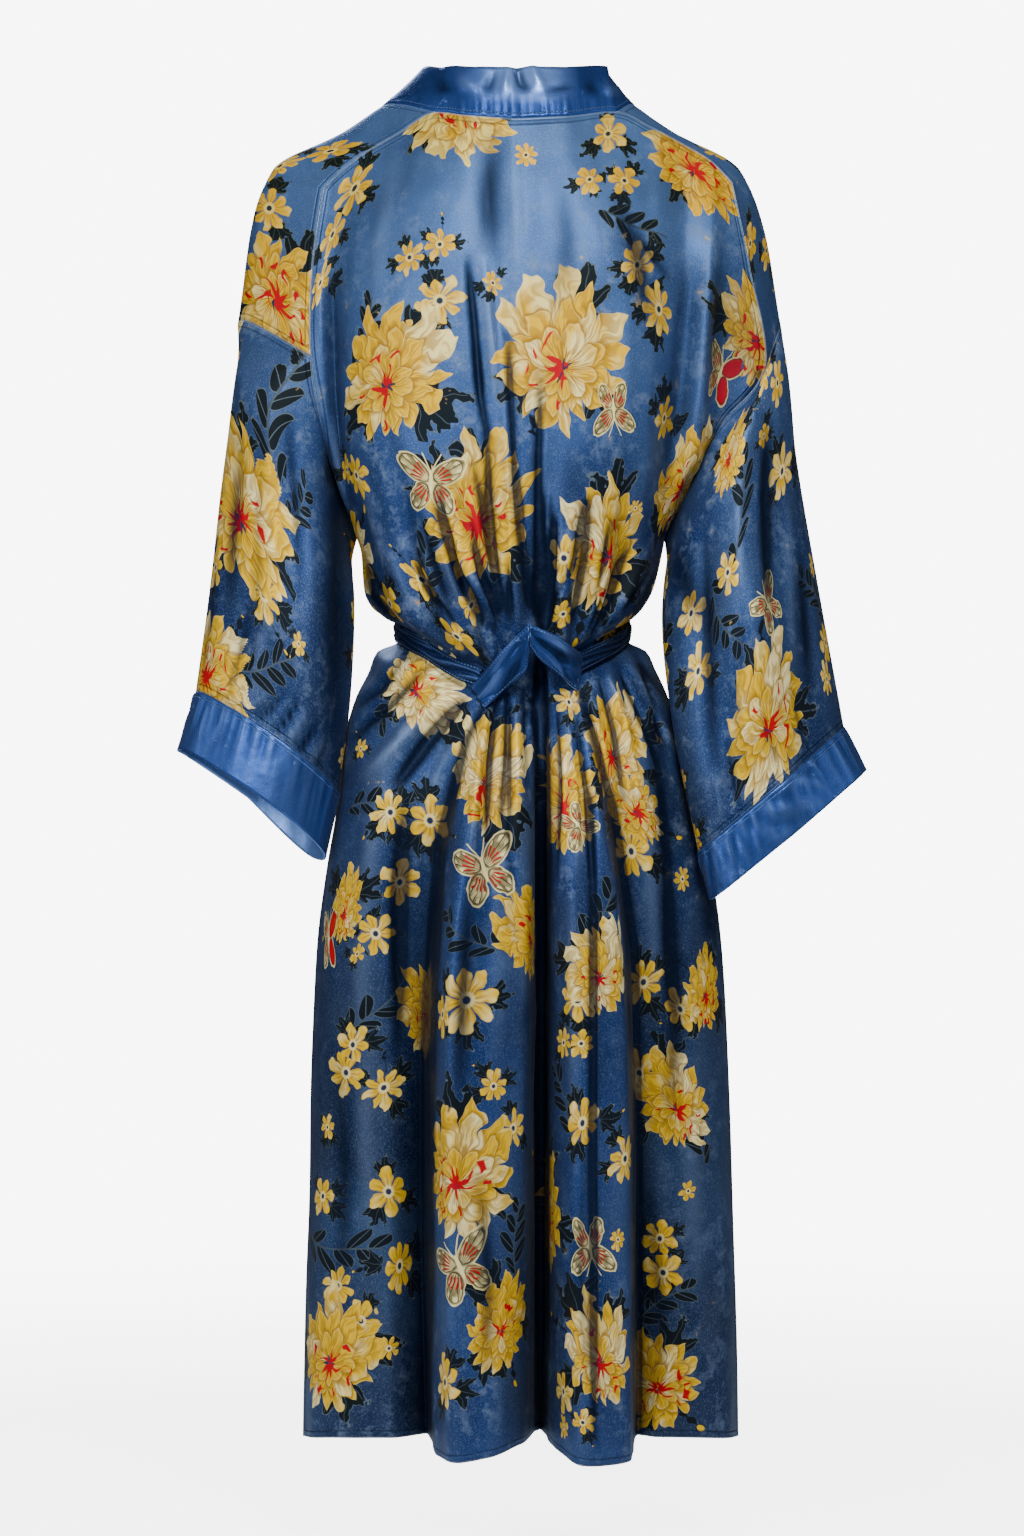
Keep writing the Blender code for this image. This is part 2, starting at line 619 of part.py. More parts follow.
def belt_grid():
    """An open ring round the waist, from the left end at the back round the front to the right end."""
    points = np.empty((BELT_POINTS, 3, 3))
    # 0 is the wearer's left side, 90 the centre front and 180 the right side
    degrees = np.linspace(BELT_LEFT_END_DEG - 90, 270 - BELT_RIGHT_END_DEG, BELT_POINTS)
    for index, degree in enumerate(degrees):
        sin = math.sin(math.radians(degree))
        half = section_size("left" if degree < 90 else "right", BELT_Z)
        deep = section_size("back" if sin < 0 else "front", BELT_Z)
        out = BELT_CLEARANCE + LAP_OFFSET * float(ramp(sin, *BELT_OVER_LAP))
        x = (half + out) * math.cos(math.radians(degree))
        y = -(deep + out) * sin
        z = BELT_Z
        tall = BELT_HALF_HEIGHT
        if sin < 0:
            angle = math.degrees(math.atan2(x / half, y / deep))
            share = float(through(belt_angles(), fold_column("share"), angle))
            z = float(belt_height(share))
            near_tie = float(ramp(1 - abs(share), *BELT_WIDENS))
            tall += (BELT_END_HALF_HEIGHT - BELT_HALF_HEIGHT) * near_tie
        points[index] = [(x, y, z + tall), (x * BELT_CROWN_X, y * BELT_CROWN_Y, z), (x, y, z - tall)]
    return points


def tie_grid(name):
    """One arm of the tie, from its edges' table to an even grid."""
    table = np.array(TIE_ARMS[name], float) * MM
    along = np.linspace(0, 1, len(table))
    across = np.linspace(0, 1, table.shape[1])
    rows = np.linspace(0, 1, TIE_ROWS)
    columns = np.linspace(0, 1, TIE_COLUMNS)
    by_row = np.stack([rounded(along, table[:, k], rows) for k in range(table.shape[1])], axis=1)
    return np.stack([rounded(across, line, columns) for line in by_row])


def own_normals(grid, ring):
    """Unit normals of one grid, from its own faces only."""
    rows, columns = grid.shape[:2]
    sums = np.zeros_like(grid)
    for r in range(rows - 1):
        for c in range(columns if ring else columns - 1):
            d = (c + 1) % columns
            corners = ((r, c), (r + 1, c), (r + 1, d), (r, d))
            a, b, e, f = (grid[i] for i in corners)
            normal = np.cross(e - a, f - b)
            for corner in corners:
                sums[corner] += normal
    return sums / np.linalg.norm(sums, axis=2, keepdims=True)


def seam_normals(grids):
    """Unit normals that pieces share along their seams, except where a sleeve turns back on the body."""
    own = {name: own_normals(grid, ring) for name, (grid, ring) in grids.items()}
    joined = {name: normals.copy() for name, normals in own.items()}
    for members in meeting_points(grids):
        shared = unit(sum(own[name][index] for name, index in members))
        for name, index in members:
            joined[name][index] = shared
        body = [member for member in members if member[0].startswith(("back", "front"))]
        sleeve = [member for member in members if member[0].startswith("sleeve")]
        if not (body and sleeve):
            continue
        body_normal = unit(sum(own[name][index] for name, index in body))
        for name, index in sleeve:
            alone = own[name][index]
            cosine = float(np.dot(body_normal, alone))
            turned = float(ramp(-cosine, -SHARED_COSINE, -OWN_COSINE))
            joined[name][index] = unit((1 - turned) * shared + turned * alone)
            beside = CLOTH_THICK / 2 * (1 - cosine) + SEAM_GAP
            grids[name][0][index] += body_normal * beside * turned
        for name, index in body:
            joined[name][index] = unit((1 - turned) * shared + turned * body_normal)
    return joined


def meeting_points(grids):
    """The places where grids share a point, each a list of (grid name, index) pairs."""
    meet = {}
    for name, (grid, _) in grids.items():
        keys = np.round(grid / SAME_POINT).astype(np.int64)
        for index in np.ndindex(keys.shape[:2]):
            meet.setdefault(tuple(keys[index]), []).append((name, index))
    return [members for members in meet.values() if len(members) > 1]


def unit(vector):
    return vector / np.linalg.norm(vector)


def pulled_in(grid, ring, edges):
    """The grid with its sewn edges moved half a seam gap towards its own inside, square to the seam."""
    moved = grid.copy()
    if "top" in edges:
        moved[0] = set_back(moved[0], moved[1], ring)
    if "bottom" in edges:
        moved[-1] = set_back(moved[-1], moved[-2], ring)
    if "first" in edges:
        moved[:, 0] = set_back(moved[:, 0], moved[:, 1], False)
    if "last" in edges:
        moved[:, -1] = set_back(moved[:, -1], moved[:, -2], False)
    return moved


def set_back(edge, inner, closed):
    """An edge's points moved half a seam gap towards the next line of points."""
    if closed:
        along = np.roll(edge, -1, axis=0) - np.roll(edge, 1, axis=0)
    else:
        along = np.gradient(edge, axis=0)
    along /= np.linalg.norm(along, axis=1, keepdims=True)
    step = inner - edge
    square = step - along * np.sum(step * along, axis=1, keepdims=True)
    square /= np.linalg.norm(square, axis=1, keepdims=True)
    return edge + square * SEAM_GAP / 2


def wall(name, grid, normals, thick, ring, material):
    """A closed cloth wall round a mid-surface grid: the points outside come first, then those inside."""
    rows, columns = grid.shape[:2]
    outer = grid + normals * thick / 2
    inner = grid - normals * thick / 2
    points = np.concatenate([outer.reshape(-1, 3), inner.reshape(-1, 3)])
    count = rows * columns
    faces = []

    def at(r, c, side):
        return side * count + r * columns + c % columns

    last = columns if ring else columns - 1
    for r in range(rows - 1):
        for c in range(last):
            a, b, d, e = (at(r, c, 0), at(r + 1, c, 0), at(r + 1, c + 1, 0), at(r, c + 1, 0))
            faces += [(a, b, d), (a, d, e)]
            a, b, d, e = (i + count for i in (a, b, d, e))
            faces += [(a, d, b), (a, e, d)]
    for c in range(last):
        faces += rim(points, at(0, c + 1, 0), at(0, c, 0), count)
        faces += rim(points, at(rows - 1, c, 0), at(rows - 1, c + 1, 0), count)
    if not ring:
        for r in range(rows - 1):
            faces += rim(points, at(r, 0, 0), at(r + 1, 0, 0), count)
            faces += rim(points, at(r + 1, columns - 1, 0), at(r, columns - 1, 0), count)
    mesh = bpy.data.meshes.new(name)
    mesh.from_pydata([tuple(p) for p in points], [], faces)
    mesh.update()
    mesh.shade_smooth()
    mesh.materials.append(material)
    obj = bpy.data.objects.new(name, mesh)
    bpy.context.scene.collection.objects.link(obj)
    return obj


def rim(points, first, second, count):
    """Two triangles that close the wall's edge, split along the shorter diagonal."""
    one = np.linalg.norm(points[first] - points[second + count])
    other = np.linalg.norm(points[second] - points[first + count])
    if one < other:
        return [(first, first + count, second + count), (first, second + count, second)]
    return [(first, first + count, second), (second, first + count, second + count)]


def satin(name, colour, roughness):
    material = bpy.data.materials.new(name)
    material.use_nodes = True
    shader = material.node_tree.nodes["Principled BSDF"]
    shader.inputs["Base Color"].default_value = (*colour, 1.0)
    shader.inputs["Roughness"].default_value = roughness
    shader.inputs["Metallic"].default_value = 0.0
    return material


def main():
    clear_scene()
    back = back_grid()
    seams = {"left": back[:, 0], "right": back[:, -1]}
    fronts = {side: front_grid(side, back) for side in seams}
    armholes = {side: armhole_ring(seams[side], fronts[side][:, -1]) for side in seams}
    sleeves = {side: sleeve_grid(side, armholes[side]) for side in seams}
    cuffs = {side: cuff_grid(side, sleeves[side][-1]) for side in seams}
    collar = collar_grid(back, fronts)

    # Left and right pieces run opposite ways round, so one of each pair is turned over
    grids = {
        "back_panel": (back, False),
        "front_left": (fronts["left"], False),
        "front_right": (fronts["right"][:, ::-1], False),
        "sleeve_left": (sleeves["left"], True),
        "sleeve_right": (sleeves["right"][:, ::-1], True),
        "cuff_left": (cuffs["left"], True),
        "cuff_right": (cuffs["right"][:, ::-1], True),
        "collar_band": (collar, False),
        "belt": (belt_grid(), False),
        "tie_left": (tie_grid("tie_left")[:, ::-1], False),
        "tie_right": (tie_grid("tie_right")[:, ::-1], False),
    }
    sewn = {
        "back_panel": ("top", "first", "last"),
        "front_left": ("top", "first", "last"),
        "front_right": ("top", "first", "last"),
        "sleeve_left": ("top", "bottom"),
        "sleeve_right": ("top", "bottom"),
        "cuff_left": ("top",),
        "cuff_right": ("top",),
        "collar_band": ("first",),
    }
    printed = satin("printed_satin", PRINT_BLUE, PRINT_ROUGHNESS)
    plain = satin("plain_satin", PLAIN_BLUE, PLAIN_ROUGHNESS)
    normals = seam_normals(grids)
    for name, (grid, ring) in grids.items():
        body = name.startswith(("back", "front", "sleeve"))
        thick = CLOTH_THICK if body else BAND_THICK
        moved = pulled_in(grid, ring, sewn.get(name, ()))
        wall(name, moved, normals[name], thick, ring, printed if body else plain)


main()
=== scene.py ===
"""A satin kimono robe, worn and tied at the back: its cloth, print, trims, light and camera.

Metres, +Z up. The wearer faces -Y, and the camera looks at the back from +Y.
The cloth's form repeats the sections and folds of the frame, with finer rows and creases.
"""

import math

import bpy
import numpy as np
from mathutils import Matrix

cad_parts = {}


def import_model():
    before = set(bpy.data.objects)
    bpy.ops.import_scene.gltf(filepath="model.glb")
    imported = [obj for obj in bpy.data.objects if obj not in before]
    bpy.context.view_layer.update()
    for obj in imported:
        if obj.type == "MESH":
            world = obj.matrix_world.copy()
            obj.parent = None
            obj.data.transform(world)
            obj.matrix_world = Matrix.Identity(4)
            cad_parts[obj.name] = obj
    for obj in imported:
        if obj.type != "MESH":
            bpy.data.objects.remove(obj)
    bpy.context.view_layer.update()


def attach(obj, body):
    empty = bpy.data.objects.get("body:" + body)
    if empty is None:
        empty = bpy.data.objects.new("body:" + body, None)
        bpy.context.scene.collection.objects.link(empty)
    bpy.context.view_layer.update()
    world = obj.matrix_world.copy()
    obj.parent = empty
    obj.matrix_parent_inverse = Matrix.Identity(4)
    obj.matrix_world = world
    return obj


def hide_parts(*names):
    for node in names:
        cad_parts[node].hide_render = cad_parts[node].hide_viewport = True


# The photograph's frame: its size, and the pixel where the camera's axis meets it
PHOTO_WIDTH = 1024
PHOTO_HEIGHT = 1536
METRES_PER_PIXEL = 0.00088
CAMERA_DISTANCE = 3.8
CAMERA_Z = -0.5808
AXIS_PX = 512.5
AXIS_PY = 768.0
SENSOR_MM = 36.0
CAMERA_REACH = 50.0

# Thickness of the printed cloth and of the bands, and the gap along a seam, in metres
CLOTH_THICK = 0.0015
BAND_THICK = 0.0022
SEAM_GAP = 0.0002
# Where a sleeve meets the body, both lean one way while the cosine between their normals is over the
# first of these, and each keeps its own way where it is under the second
SHARED_COSINE = 0.45
OWN_COSINE = -0.05
# Grid points closer than this are one point of a seam
SAME_POINT = 1e-6
# Places across the back closer than this are one place
SAME_SHARE = 1e-6
MM = 0.001
# Which way the wearer's two sides lie along X. The front of the side with 1 laps over the other.
SIGNS = {"left": 1, "right": -1}

# Levels down the body
ARMPIT_Z = -0.375
BELT_Z = -0.459
HEM_Z = -1.1685
# The belt hangs lower behind than at the sides: how far, and the power and roundness of its curve
BELT_DIP = 0.060
BELT_DIP_POWER = 1.05
BELT_DIP_SOFT = 0.15
# It sags further on its way to the tie from the wearer's left, between four places across the back
BELT_SAG = 0.009
BELT_SAG_SHARES = (0.70, 0.44, 0.15, -0.12)
# The cloth follows the belt's dip from the first level down, wholly between the next two
DIP_LEVELS = (-0.255, -0.440, -0.478, -0.760)
# The gathers above the belt fade in over the first two levels and out over the last two
GATHER_LEVELS = (-0.444, -0.426, -0.400, -0.300)
# At this level the belt sets where each fold lies round the body
HELD_Z = -0.452
# The skirt's folds begin here, and its hem line starts to rise and fall at the second level
SKIRT_FOLD_TOP_Z = -0.440
HEM_RISE_TOP_Z = -0.850

# Front overlap: the wearer's left front lies over the right one, which lies that much inside.
# It comes in between two angles past the side seam.
LAP_OFFSET = 0.0034
LAP_FROM_DEG = 15.0
LAP_FULL_DEG = 42.0

# Rows and columns of the cloth grids. The neck edge reaches NECK_SHARE of the half width each way.
NECK_SHARE = 0.40
SHOULDER_ROWS = 73
CORNER_ROW = 36
FOLD_STEPS = 12
SIDE_STEPS = 10
SIDE_SHARE = 0.485
CORNER_DEG = 60.0
SLEEVE_ROWS = 96

# Sizes of the body at each level, in millimetres: half widths, and depths behind and before the middle
SECTION_COLUMNS = ("z", "left", "right", "back", "front")
SECTIONS = [
    (-375, 137, 134, 113, 104), (-390, 132, 131, 109, 103), (-424, 129, 122, 100, 100),
    (-436, 124, 115, 92, 96), (-442, 118, 110, 85, 91), (-448, 99.5, 99.5, 82, 86),
    (-459, 99.5, 99.5, 82, 86), (-470, 99.5, 99.5, 82, 86), (-479, 118, 117, 91, 93),
    (-497, 126, 126, 103, 98), (-520, 138, 137, 114, 104), (-552, 147, 147, 125, 109),
    (-600, 152, 157, 135, 113), (-670, 163, 174, 141, 117), (-740, 171, 183, 144, 120),
    (-850, 176, 190, 146, 124), (-955, 179, 193, 147, 127), (-1060, 182, 196, 149, 130),
    (-1168.5, 183, 198, 151, 133),
]

# Rows of the body below the armpits: the last level of each stretch and the step down it, in mm
ROW_STEPS = ((-375, 0), (-426, 3.6), (-500, 2.6), (-600, 4.5), (-1168.5, 6.1))

# The back's fold lines from the wearer's left side seam to the right one.
# share: place across the flat panel. angle: place round the body above the belt. pleat: fold depth
# above the belt, mm. The pairs are x and y in hundredths of the half width and of the back depth.
# rise: how much higher than the side seam the hem hangs, mm.
FOLD_COLUMNS = ("share", "angle", "pleat", "belt", "hip", "thigh", "hem", "rise")
FOLDS = [
    (1.00, 90, 0, (100, 0), (100, 0), (100, 0), (100, 0), 0),
    (0.88, 77, 1, (95, 30), (96, 34), (95, 24), (95, 20), 3),
    (0.74, 61, 2, (82, 57), (84, 57), (82, 42), (79, 33), 6),
    (0.60, 47, 6, (64, 76), (64, 73), (61, 49), (58, 34), 6),
    (0.49, 38, -4, (44, 86), (42, 78), (45, 38), (41, 17), 6),
    (0.40, 31, 5, (29, 95), (29, 93), (38, 77), (35, 68), 0),
    (0.25, 21, -4, (18, 98), (20, 102), (27, 100), (25, 99), 0),
    (0.16, 14, 5, (10, 97), (10, 95), (12, 96), (11, 97), 4),
    (0.08, 8, -3, (0, 98), (-3, 94), (-5, 84), (-4, 76), 11),
    (-0.02, -2, 3, (-20, 89), (-16, 70), (-13, 42), (-12, 26), 12),
    (-0.12, -11, -7, (-28, 95), (-22, 92), (-20, 84), (-19, 74), 6),
    (-0.20, -19, 5, (-35, 93), (-29, 101), (-31, 100), (-30, 101), -2),
    (-0.27, -26, -3, (-42, 90), (-36, 97), (-40, 97), (-38, 97), -3),
    (-0.40, -36, 5, (-51, 85), (-46, 92), (-51, 86), (-50, 84), -2),
    (-0.49, -44, -5, (-60, 79), (-53, 78), (-56, 45), (-55, 22), 6),
    (-0.60, -54, 4, (-72, 68), (-69, 70), (-67, 46), (-64, 31), 6),
    (-0.74, -66, 1, (-86, 50), (-86, 53), (-84, 39), (-82, 29), 5),
    (-0.88, -79, 0, (-96, 26), (-97, 29), (-96, 22), (-95, 17), 2),
    (-1.00, -90, 0, (-100, 0), (-100, 0), (-100, 0), (-100, 0), 0),
]
SHAPE_COLUMNS = ("belt", "hip", "thigh", "hem")
SHAPE_LEVELS = (BELT_Z, -0.560, -0.850, HEM_Z)

# The back over each shoulder, in millimetres: lines from the top edge down, by share across the panel.
# The last line is the edge: the shoulder seam as far as CORNER_ROW, then the armhole.
# The lines' points are at these places between the top edge and the armpits.
BACK_LINE_ROWS = (0.0, 0.25, 0.5, 0.75)
BACK_LINES = {
    "left": (
        (0.00, (0, 78, -21), (0, 103, -108), (0, 112, -205), (0, 117, -305)),
        (0.20, (36, 71, -18), (37, 103, -108), (40, 113, -204), (42, 118, -304)),
        (0.40, (66, 54, -12), (74, 96, -106), (80, 108, -203), (84, 112, -302)),
        (0.60, (100, 41, -29), (107, 80, -110), (114, 95, -202), (117, 96, -300)),
        (0.74, (124, 35, -42), (133, 62, -118), (140, 72, -203), (141, 70, -298)),
        (0.88, (146, 34, -58), (156, 46, -132), (156, 44, -206), (151, 43, -297)),
        (0.94, (156, 34, -67), (166, 47, -140), (166, 57, -212), (158, 48, -296)),
        (1.00, (164, 36, -76), (174, 48, -148), (174.7, 56, -224), (164, 46, -291)),
    ),
    "right": (
        (0.00, (0, 78, -21), (0, 103, -108), (0, 112, -205), (0, 117, -305)),
        (0.20, (44, 69, -18), (42, 103, -108), (43, 113, -204), (43, 118, -304)),
        (0.40, (90, 42, -9.5), (86, 94, -106), (86, 108, -203), (86, 112, -302)),
        (0.60, (120, 33, -22), (122, 78, -108), (120, 94, -202), (114, 98, -300)),
        (0.74, (148, 29, -36), (152, 66, -125), (148, 66, -205), (137, 62, -300)),
        (0.88, (172, 28, -50), (172, 66, -128), (166, 78, -208), (158, 72, -298)),
        (0.94, (182, 29, -60), (184, 52, -132), (177, 51, -214), (168, 56, -296)),
        (1.00, (191, 31, -70), (206, 46, -145), (219, 47, -235), (176, 50, -290)),
    ),
}

# The front over each shoulder: points from the neck edge to the armhole, on rows from the seam down,
# in millimetres. FRONT_SHARES are their places along the shoulder seam.
FRONT_ROWS = (0.0, 0.2, 0.45, 0.72)
FRONT_SHARES = (0.0, 0.20, 0.38, 0.68, 1.0)
FRONT_SHOULDER = {
    "left": (
        ((114, 0, 1), (147, -2, -21), (208, 2, -54), (225, 8, -106), (232, 22, -190)),
        ((103, -55, -58), (134, -58, -66), (194, -42, -84), (221, -36, -140), (237, -24, -206)),
        ((76, -94, -168), (110, -92, -172), (152, -70, -180), (192, -61, -206), (204, -55, -264)),
    ),
    "right": (
        ((108, 0, 0), (137, -2, -21), (200, 0, -56), (220, 4, -106), (233, 16, -196)),
        ((103, -55, -58), (133, -58, -66), (188, -42, -84), (219, -38, -140), (235, -28, -212)),
        ((76, -94, -168), (110, -92, -172), (152, -70, -180), (193, -61, -206), (204, -54, -268)),
    ),
}

# The front edge where the collar band is sewn on, and the band's free edge, as degrees past the side
EDGE_LEVELS = (-0.375, -0.459, -0.600, HEM_Z)
SEAM_ANGLES = (76.0, 90.0, 97.0, 101.0)
FREE_ANGLES = (98.0, 119.0, 118.0, 118.0)
# The collar band's free edge above the armpits, in millimetres from its seam, on the front's rows
BAND_REACH = ((-8, -20, 42), (-33, -4, 30), (-37, -12, 16), (-46, -9, -2))
BAND_BACK_REACH = (0, -23, 48)

# Its middle line behind the neck stands out by this, and it leans over by a power of the share
BAND_NECK_BULGE = (0, 2, 0)
BAND_LEAN_POWER = 1.5

# Soft folds down the plain front: waves in a full turn, their depth at the hem, the level where they
# begin and the angle past the side seam where they are full
FRONT_WAVES = 5
FRONT_WAVE_DEPTH = 0.009
FRONT_WAVE_TOP_Z = -0.50
FRONT_WAVE_FULL_DEG = 25.0

# Rings down each sleeve, in millimetres: share is the place down it, outer and inner are where the
# ring is furthest from and nearest to the body, behind and before are its depths each side of their
# line, lift raises its back and drop lowers its front.
RING_COLUMNS = ("share", "outer", "inner", "behind", "before", "lift", "drop")
# A ring's front drops towards its inner side, from where the cosine of the angle is this
DROP_FROM_COSINE = 0.1
SLEEVES = {
    "left": (
        (0.12, (241, 19, -230), (142, 5, -398), 51, 62, 20, 0),
        (0.30, (251, 6, -305), (140, 8, -432), 59, 62, 8, 4),
        (0.65, (262, 12, -410), (143, 22, -522), 62, 62, 10, 2),
        (1.00, (276, 20, -517), (152, 35, -603), 52, 52, 13, 4),
    ),
    "right": (
        (0.12, (240, 12, -234), (136, 12, -400), 55, 62, 11, 0),
        (0.30, (249, 6, -305), (131, 32, -444), 60, 64, 4, 0),
        (0.65, (266, 14, -415), (139, 54, -540), 66, 66, 2, -2),
        (1.00, (288, 26, -545), (161, 76, -652), 52, 52, 0, -2),
    ),
}
CUFFS = {
    "left": (1.0, (292, 22, -567), (163, 40, -657), 49, 49, 13, 10),
    "right": (1.0, (308, 28, -583), (171, 82, -694), 50, 50, 0, -4),
}
# Long soft folds down each sleeve: place round it in degrees, half width in degrees, depth in mm
SLEEVE_FOLDS = {
    "left": ((118, 20, 9), (60, 22, -5), (25, 16, 4), (235, 24, 7), (300, 26, -5)),
    "right": ((122, 20, -9), (88, 18, 9), (50, 20, -6), (235, 24, 7), (300, 26, -5)),
}
# They grow between two places down the sleeve, lose this share between two more, and at the cuff's
# edge this much of them is left
FOLD_GROWS = (0.05, 0.45)
FOLD_EASES = (0.70, 1.00)
FOLD_EASE = 0.45
CUFF_FOLD = 0.40
CUFF_ROWS = 22

# Belt and its tie at the back
BELT_CLEARANCE = 0.0032
# It stands further out over the lapped fronts, coming in between two sines of its angle
BELT_OVER_LAP = (0.05, 0.45)
# It widens towards the tie between two distances from the side seams, as shares of the half back
BELT_WIDENS = (0.3, 0.9)
BELT_HALF_HEIGHT = 0.0080
BELT_END_HALF_HEIGHT = 0.0095
BELT_POINTS = 240
# Its crown stands out from its edges by these factors, across and in depth
BELT_CROWN_X = 1.006
BELT_CROWN_Y = 1.012
# Its ends lie under the tie, this far from the centre back
BELT_LEFT_END_DEG = 15.0
BELT_RIGHT_END_DEG = 33.0
# Each arm of the tie, in millimetres: lines of points across it, from its upper edge to its lower one.
# The left arm's lines go up to the peak, and the right arm's go down from it.
TIE_ARMS = {
    "tie_left": (
        ((34.8, 82.5, -510.5), (31.8, 84.8, -516.5), (27.9, 90, -523), (24.5, 94.6, -529.5)),
        ((20.2, 99, -493.5), (16.7, 98, -501), (12.4, 97, -508.5), (8.1, 96, -515.5)),
        ((9, 106, -480), (4.7, 105, -488.5), (0.4, 102, -497), (-3.9, 101.5, -504.5)),
        ((-2.1, 109, -469.5), (-5.6, 108.5, -478), (-9, 107.5, -487.5), (-12, 106, -496)),
        ((-14.1, 112, -458), (-14.1, 112.5, -464.5), (-14.1, 112, -471.5), (-14.1, 110, -478.5)),
    ),
    "tie_right": (
        ((-15.2, 112, -458.5), (-15.2, 112.5, -464.5), (-15.2, 112, -470.5), (-15.2, 110, -477)),
        ((-27.8, 110, -463.5), (-26.9, 110, -472), (-25.2, 108, -480), (-23.5, 105, -488)),
        ((-39.4, 105, -468.5), (-38.9, 104, -478), (-37.7, 101, -488.5), (-36.4, 97, -498)),
        ((-48.9, 95, -475.5), (-49.8, 93, -484.5), (-48.5, 90.5, -496), (-46.4, 89, -506.5)),
        ((-56.9, 73.6, -481), (-59.5, 73.5, -489), (-57.3, 76.5, -501.5), (-55.5, 83.4, -513.5)),
    ),
}
# Grid points along and across each arm of the tie, and across the collar band and the belt
TIE_ROWS = 72
TIE_COLUMNS = 26
COLLAR_COLUMNS = 15
BELT_COLUMNS = 13

